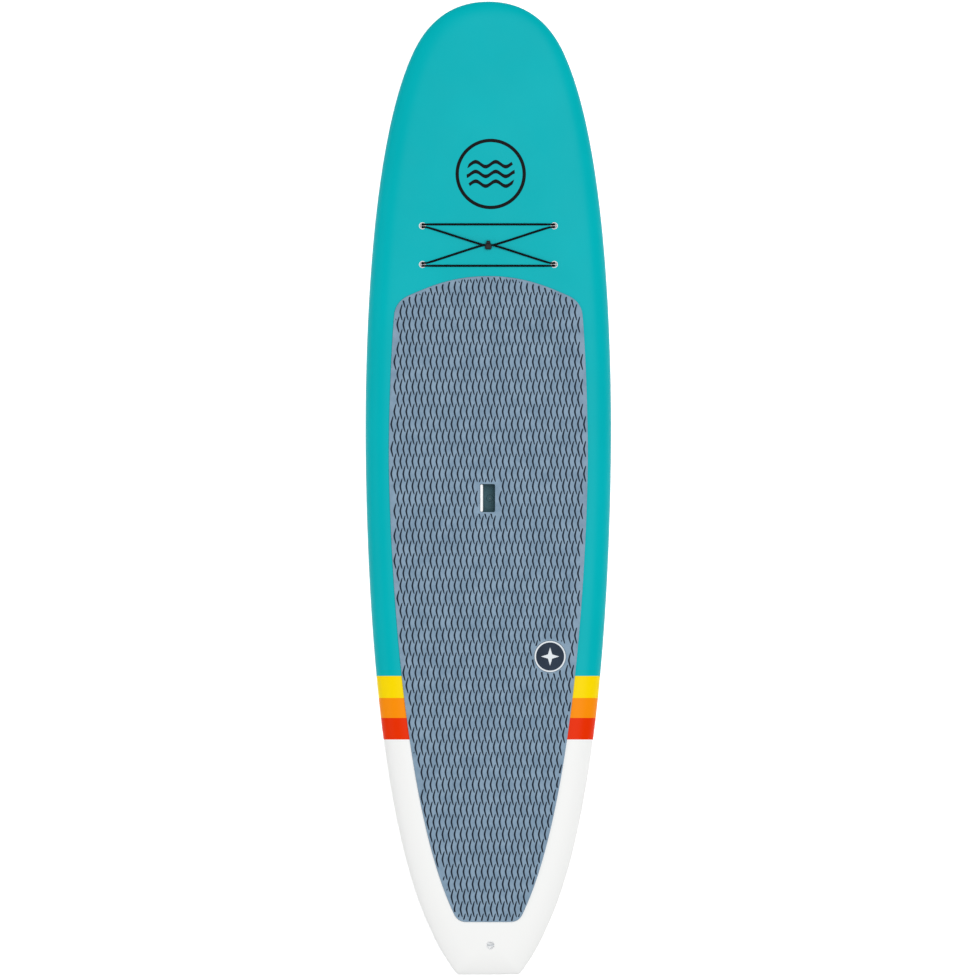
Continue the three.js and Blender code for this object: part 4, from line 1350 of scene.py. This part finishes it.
def foil(root, height, rake, thickness):
    """A fin's blade: foil sections from the root to the rounded tip."""
    front, back = fin_edges(root, height, rake)
    shares = [(1 - math.cos(math.pi * i / CHORD_STEPS)) / 2 for i in range(CHORD_STEPS + 1)]
    loops = []
    for level in range(FIN_LEVELS + 1):
        depth = ROOT_GAP + (height - GAP - ROOT_GAP) * math.sin(level / FIN_LEVELS * math.pi / 2)
        y_front = np.interp(depth, -front[:, 1], front[:, 0])
        y_back = np.interp(depth, -back[:, 1], back[:, 0])
        half = thickness / 2 * (1 - (1 - FIN_TIP) * depth / height)
        half *= min(1, (y_front - y_back) / (TIP_ROUNDING * root)) ** 0.5
        ys = [y_front + (y_back - y_front) * share for share in shares]
        widths = [half * section_half_width(share) for share in shares]
        loop = list(zip(widths, ys)) + list(zip([-w for w in widths], ys))[::-1]
        loops.append((loop, -depth))
    return stacked(loops[::-1])


def fin_box(place):
    """The centre fin's box, with its slot and the groove that holds the pin and the plate."""
    flange_width, flange_length, corner = BOX_FLANGE
    width, length, depth = BOX_BODY
    slot_width, slot_length, slot_depth = BOX_SLOT
    groove_width, *groove_depths = BOX_GROOVE
    shell = joined(block(flange_width, flange_length, 0, SKIN + GAP, corner, low=0.5),
                   block(width, length, SKIN, depth, 4, high=1))
    slot = block(slot_width, slot_length, -1, slot_depth, SLOT_CORNER)
    groove = block(groove_width, slot_length, *groove_depths, SLOT_CORNER)
    remade("fin_box", cut(shell, slot, groove), "black_plastic", place)


def center_fin(place):
    """The centre fin, with a tab, a tongue for its screw and a heel for its pin."""
    front = FIN["root"] / 2
    side = FIN["thickness"] / 2 - GAP
    pin_y = PIN_SETBACK - front
    _, groove_start, groove_end = BOX_GROOVE
    tab = box((-side, 4 - front, -ROOT_GAP - 1), (side, front, TAB_TOP))
    tongue = box((-side, front - 1, SCREW_HEAD + GAP), (side, front + TONGUE, TAB_TOP))
    heel = box((-side, pin_y - HEEL / 2, TAB_TOP - 1), (side, pin_y + HEEL / 2, groove_end))
    blade = joined(foil(**FIN), tab, tongue, heel)
    pin_hole = moved(pin_along_x(PIN_RADIUS + GAP, -9, 9), 0, pin_y, (groove_start + groove_end) / 2)
    screw_hole = moved(post(PIN_RADIUS + GAP, 0, groove_end), 0, front + TONGUE / 2, 0)
    remade("center_fin", cut(blade, pin_hole, screw_hole), "fin_plastic", place, rides_on="fin")


def side_fin(side, word):
    """A side fin, its box and the box's two grub screws. Returns the box's frame."""
    point, normal = on_board(side * SIDE_X, SIDE_Y, -1)
    place = seat(point, -normal, side * SIDE_TOE)
    width, length, depth = SIDE_BOX
    slot_width, slot_length = SIDE_SLOT
    shell = joined(block(width, length, 0, SKIN + GAP, SIDE_CORNER, low=0.5),
                   block(width - 2, length - 8, SKIN, depth, SIDE_CORNER - 2, high=1))
    slot = block(slot_width, slot_length, -1, depth - 2, 3)
    grubs = [moved(post(GRUB_RADIUS + 0.2, -1, 11), side * GRUB_X, y, 0) for y in (-GRUB_Y, GRUB_Y)]
    remade(f"side_box_{word}", cut(shell, slot, added(*grubs)), "black_plastic", place)
    for spot, y in (("fore", GRUB_Y), ("aft", -GRUB_Y)):
        grub = cut(post(GRUB_RADIUS, 1, 9, 0.3, 0.3), post(1, 0, 4, sides=6))
        remade(f"grub_screw_{spot}_{word}", moved(grub, side * GRUB_X, y, 0), "steel", place)
    blade = moved(foil(**SIDE_FIN), Matrix.Rotation(-side * SIDE_CANT, 4, "Y"))
    half, end = SIDE_FIN["thickness"] / 2, slot_length / 2 - 3
    blade = joined(blade, box((-half, -end, -3.5), (half, end, depth - 3)))
    remade(f"side_fin_{word}", blade, "fin_plastic", place)
    return place


# ---- Shell ----


ON_SURFACE = 0.05
SAME_WAY = 0.9  # least cosine between a face and the surface that it's taken to lie in


def smooth_normals(piece):
    """Shades the cut shell's outside as the whole surface that it was cut from."""
    mesh = piece.data
    OUTSIDE.faces.ensure_lookup_table()
    normals = [tuple(corner.vector) for corner in mesh.corner_normals]
    for face in mesh.polygons:
        for index in face.loop_indices:
            point = mesh.vertices[mesh.loops[index].vertex_index].co / MM
            _, _, nearest, distance = OUTSIDE_TREE.find_nearest(point)
            if distance < ON_SURFACE:
                corners = OUTSIDE.faces[nearest].verts
                weights = [1 / ((vert.co - point).length + FINE_WELD) for vert in corners]
                smooth = sum((vert.normal * w for vert, w in zip(corners, weights)), Vector())
                smooth.normalize()
                if smooth.dot(face.normal) > SAME_WAY:
                    normals[index] = tuple(smooth)
    mesh.normals_split_custom_set(normals)


def laminate_shell(cutters):
    """The lacquered shell, hollow inside, with its holes cut."""
    inner = body(SKIN)
    bmesh.ops.reverse_faces(inner, faces=inner.faces)
    made = cut(added(OUTSIDE.copy(), inner), added(*cutters))
    piece = remade("laminate_shell", made, "shell_lacquer", crease=50)
    smooth_normals(piece)
    places = np.array([vert.co[:] for vert in piece.data.vertices])
    below = rail_height(places[:, 1] / MM) * MM - places[:, 2]
    layer = piece.data.attributes.new("below_rail", "FLOAT", "POINT")
    layer.data.foreach_set("value", below.astype(np.float32))


def fitting_holes(hand, leash, inserts, fin, side_fins):
    """What the shell is cut with: shapes a little larger than the fittings' flanges."""
    spread = 2 * (HAND_FLANGE + GAP)
    hand_size = (HAND_WIDTH + spread, HAND_LENGTH + spread)
    width, length, corner = BOX_FLANGE
    fin_hole = block(width + 1, length + 1, -5, SKIN + 2, corner)
    holes = [
        (block(*hand_size, -SKIN - 1, 2, HAND_RADIUS + HAND_FLANGE), hand),
        (post(LEASH_CUP["flange"] + GAP, -SKIN - 2, 3), leash),
        *[(post(INSERT_CUP["flange"] + GAP, -SKIN - 2, 3), place) for place in inserts],
        (fin_hole, fin),
    ]
    width, length, _ = SIDE_BOX
    holes += [(block(width + 1, length + 1, -5, SKIN + 2, SIDE_CORNER), place) for place in side_fins]
    return [moved(hole, place) for hole, place in holes]


# ---- Studio ----

VIEW_CENTRE = (0.0054, -0.0064)
VIEW_SPAN = 3.223
CAMERA_HEIGHT = 6.0
FLOOR_Z = -0.26
FLOOR_HALF = 30
FLOOR_COLOUR = (0.93, 0.93, 0.93, 1.0)
FLOOR_GLOW = 0.45
LAMPS = {  # place, size and power
    "key": ((2.2, 0.5, 12.0), 10.0, 1230),
    "fill": ((-8.0, -1.5, 5.0), 5.0, 120),
}
SKY = (0.95, 0.97, 1.0, 1.0)
SKY_STRENGTH = 0.25


def studio():
    """A camera over the deck, a pale floor and soft light from all round."""
    camera = in_scene("camera", bpy.data.cameras.new("camera"))
    camera.data.type = "ORTHO"
    camera.data.ortho_scale = VIEW_SPAN
    camera.data.clip_end = 100
    camera.location = (*VIEW_CENTRE, CAMERA_HEIGHT)
    bpy.context.scene.camera = camera

    sides = [(-1, -1), (1, -1), (1, 1), (-1, 1)]
    plane = mesh_of([(x * FLOOR_HALF, y * FLOOR_HALF, FLOOR_Z) for x, y in sides], [(0, 1, 2, 3)])
    floor = in_scene("floor", settled(plane, "floor"))
    pale = Look("floor", Base_Color=FLOOR_COLOUR, Roughness=0.95, Specular_IOR_Level=0.0,
                Emission_Color=(1.0, 1.0, 1.0, 1.0), Emission_Strength=FLOOR_GLOW)
    floor.data.materials.append(pale.material)

    for name, (place, size, power) in LAMPS.items():
        lamp(name, place, size, power)
    world = bpy.data.worlds.new("studio")
    world.use_nodes = True
    background = world.node_tree.nodes["Background"]
    background.inputs["Color"].default_value = SKY
    background.inputs["Strength"].default_value = SKY_STRENGTH
    bpy.context.scene.world = world
    bpy.context.scene.view_settings.view_transform = "Standard"


def lamp(name, place, size, power):
    """A square soft light that points at the board."""
    light = in_scene(name, bpy.data.lights.new(name, "AREA"))
    light.data.size = size
    light.data.energy = power
    light.location = place
    light.rotation_mode = "QUATERNION"
    light.rotation_quaternion = (-Vector(place)).to_track_quat("-Z", "Y")


# ---- Build ----

INSERTS = ["fore_port", "fore_starboard", "aft_port", "aft_starboard"]

studio()
hand_place = hand_hold()
deck_foam(hand_opening())
leash = cup("leash_cup", "leash_bar", LEASH_CUP, LEASH_BAR)
inserts = []
for word in INSERTS:
    inserts.append(cup(f"bungee_insert_{word}", f"bungee_bar_{word}", INSERT_CUP, INSERT_BAR))
bungee(cord_lock(), inserts)

fin_face, fin_down = mount("fin_box_face")
fin_place = seat(Vector((0, fin_face.y, fin_face.z)), -fin_down)
fin_box(fin_place)
center_fin(fin_place @ Matrix.Translation((0, FIN_SHIFT, 0)))
side_places = [side_fin(1, "starboard"), side_fin(-1, "port")]
laminate_shell(fitting_holes(hand_place, leash, inserts, fin_place, side_places))

# CAD nodes that stay as they are, with better materials.
KEPT_NODES = {
    "core_port": "foam_core", "core_starboard": "foam_core", "stringer": "stringer_wood",
    "vent_membrane": "vent_membrane", "vent_o_ring": "seal_rubber",
    "fin_pin": "brass", "fin_plate": "steel", "fin_screw": "steel",
}
for node, slot in KEPT_NODES.items():
    materials = frame["nodes"][node].data.materials
    materials.clear()
    materials.append(LOOKS[slot])
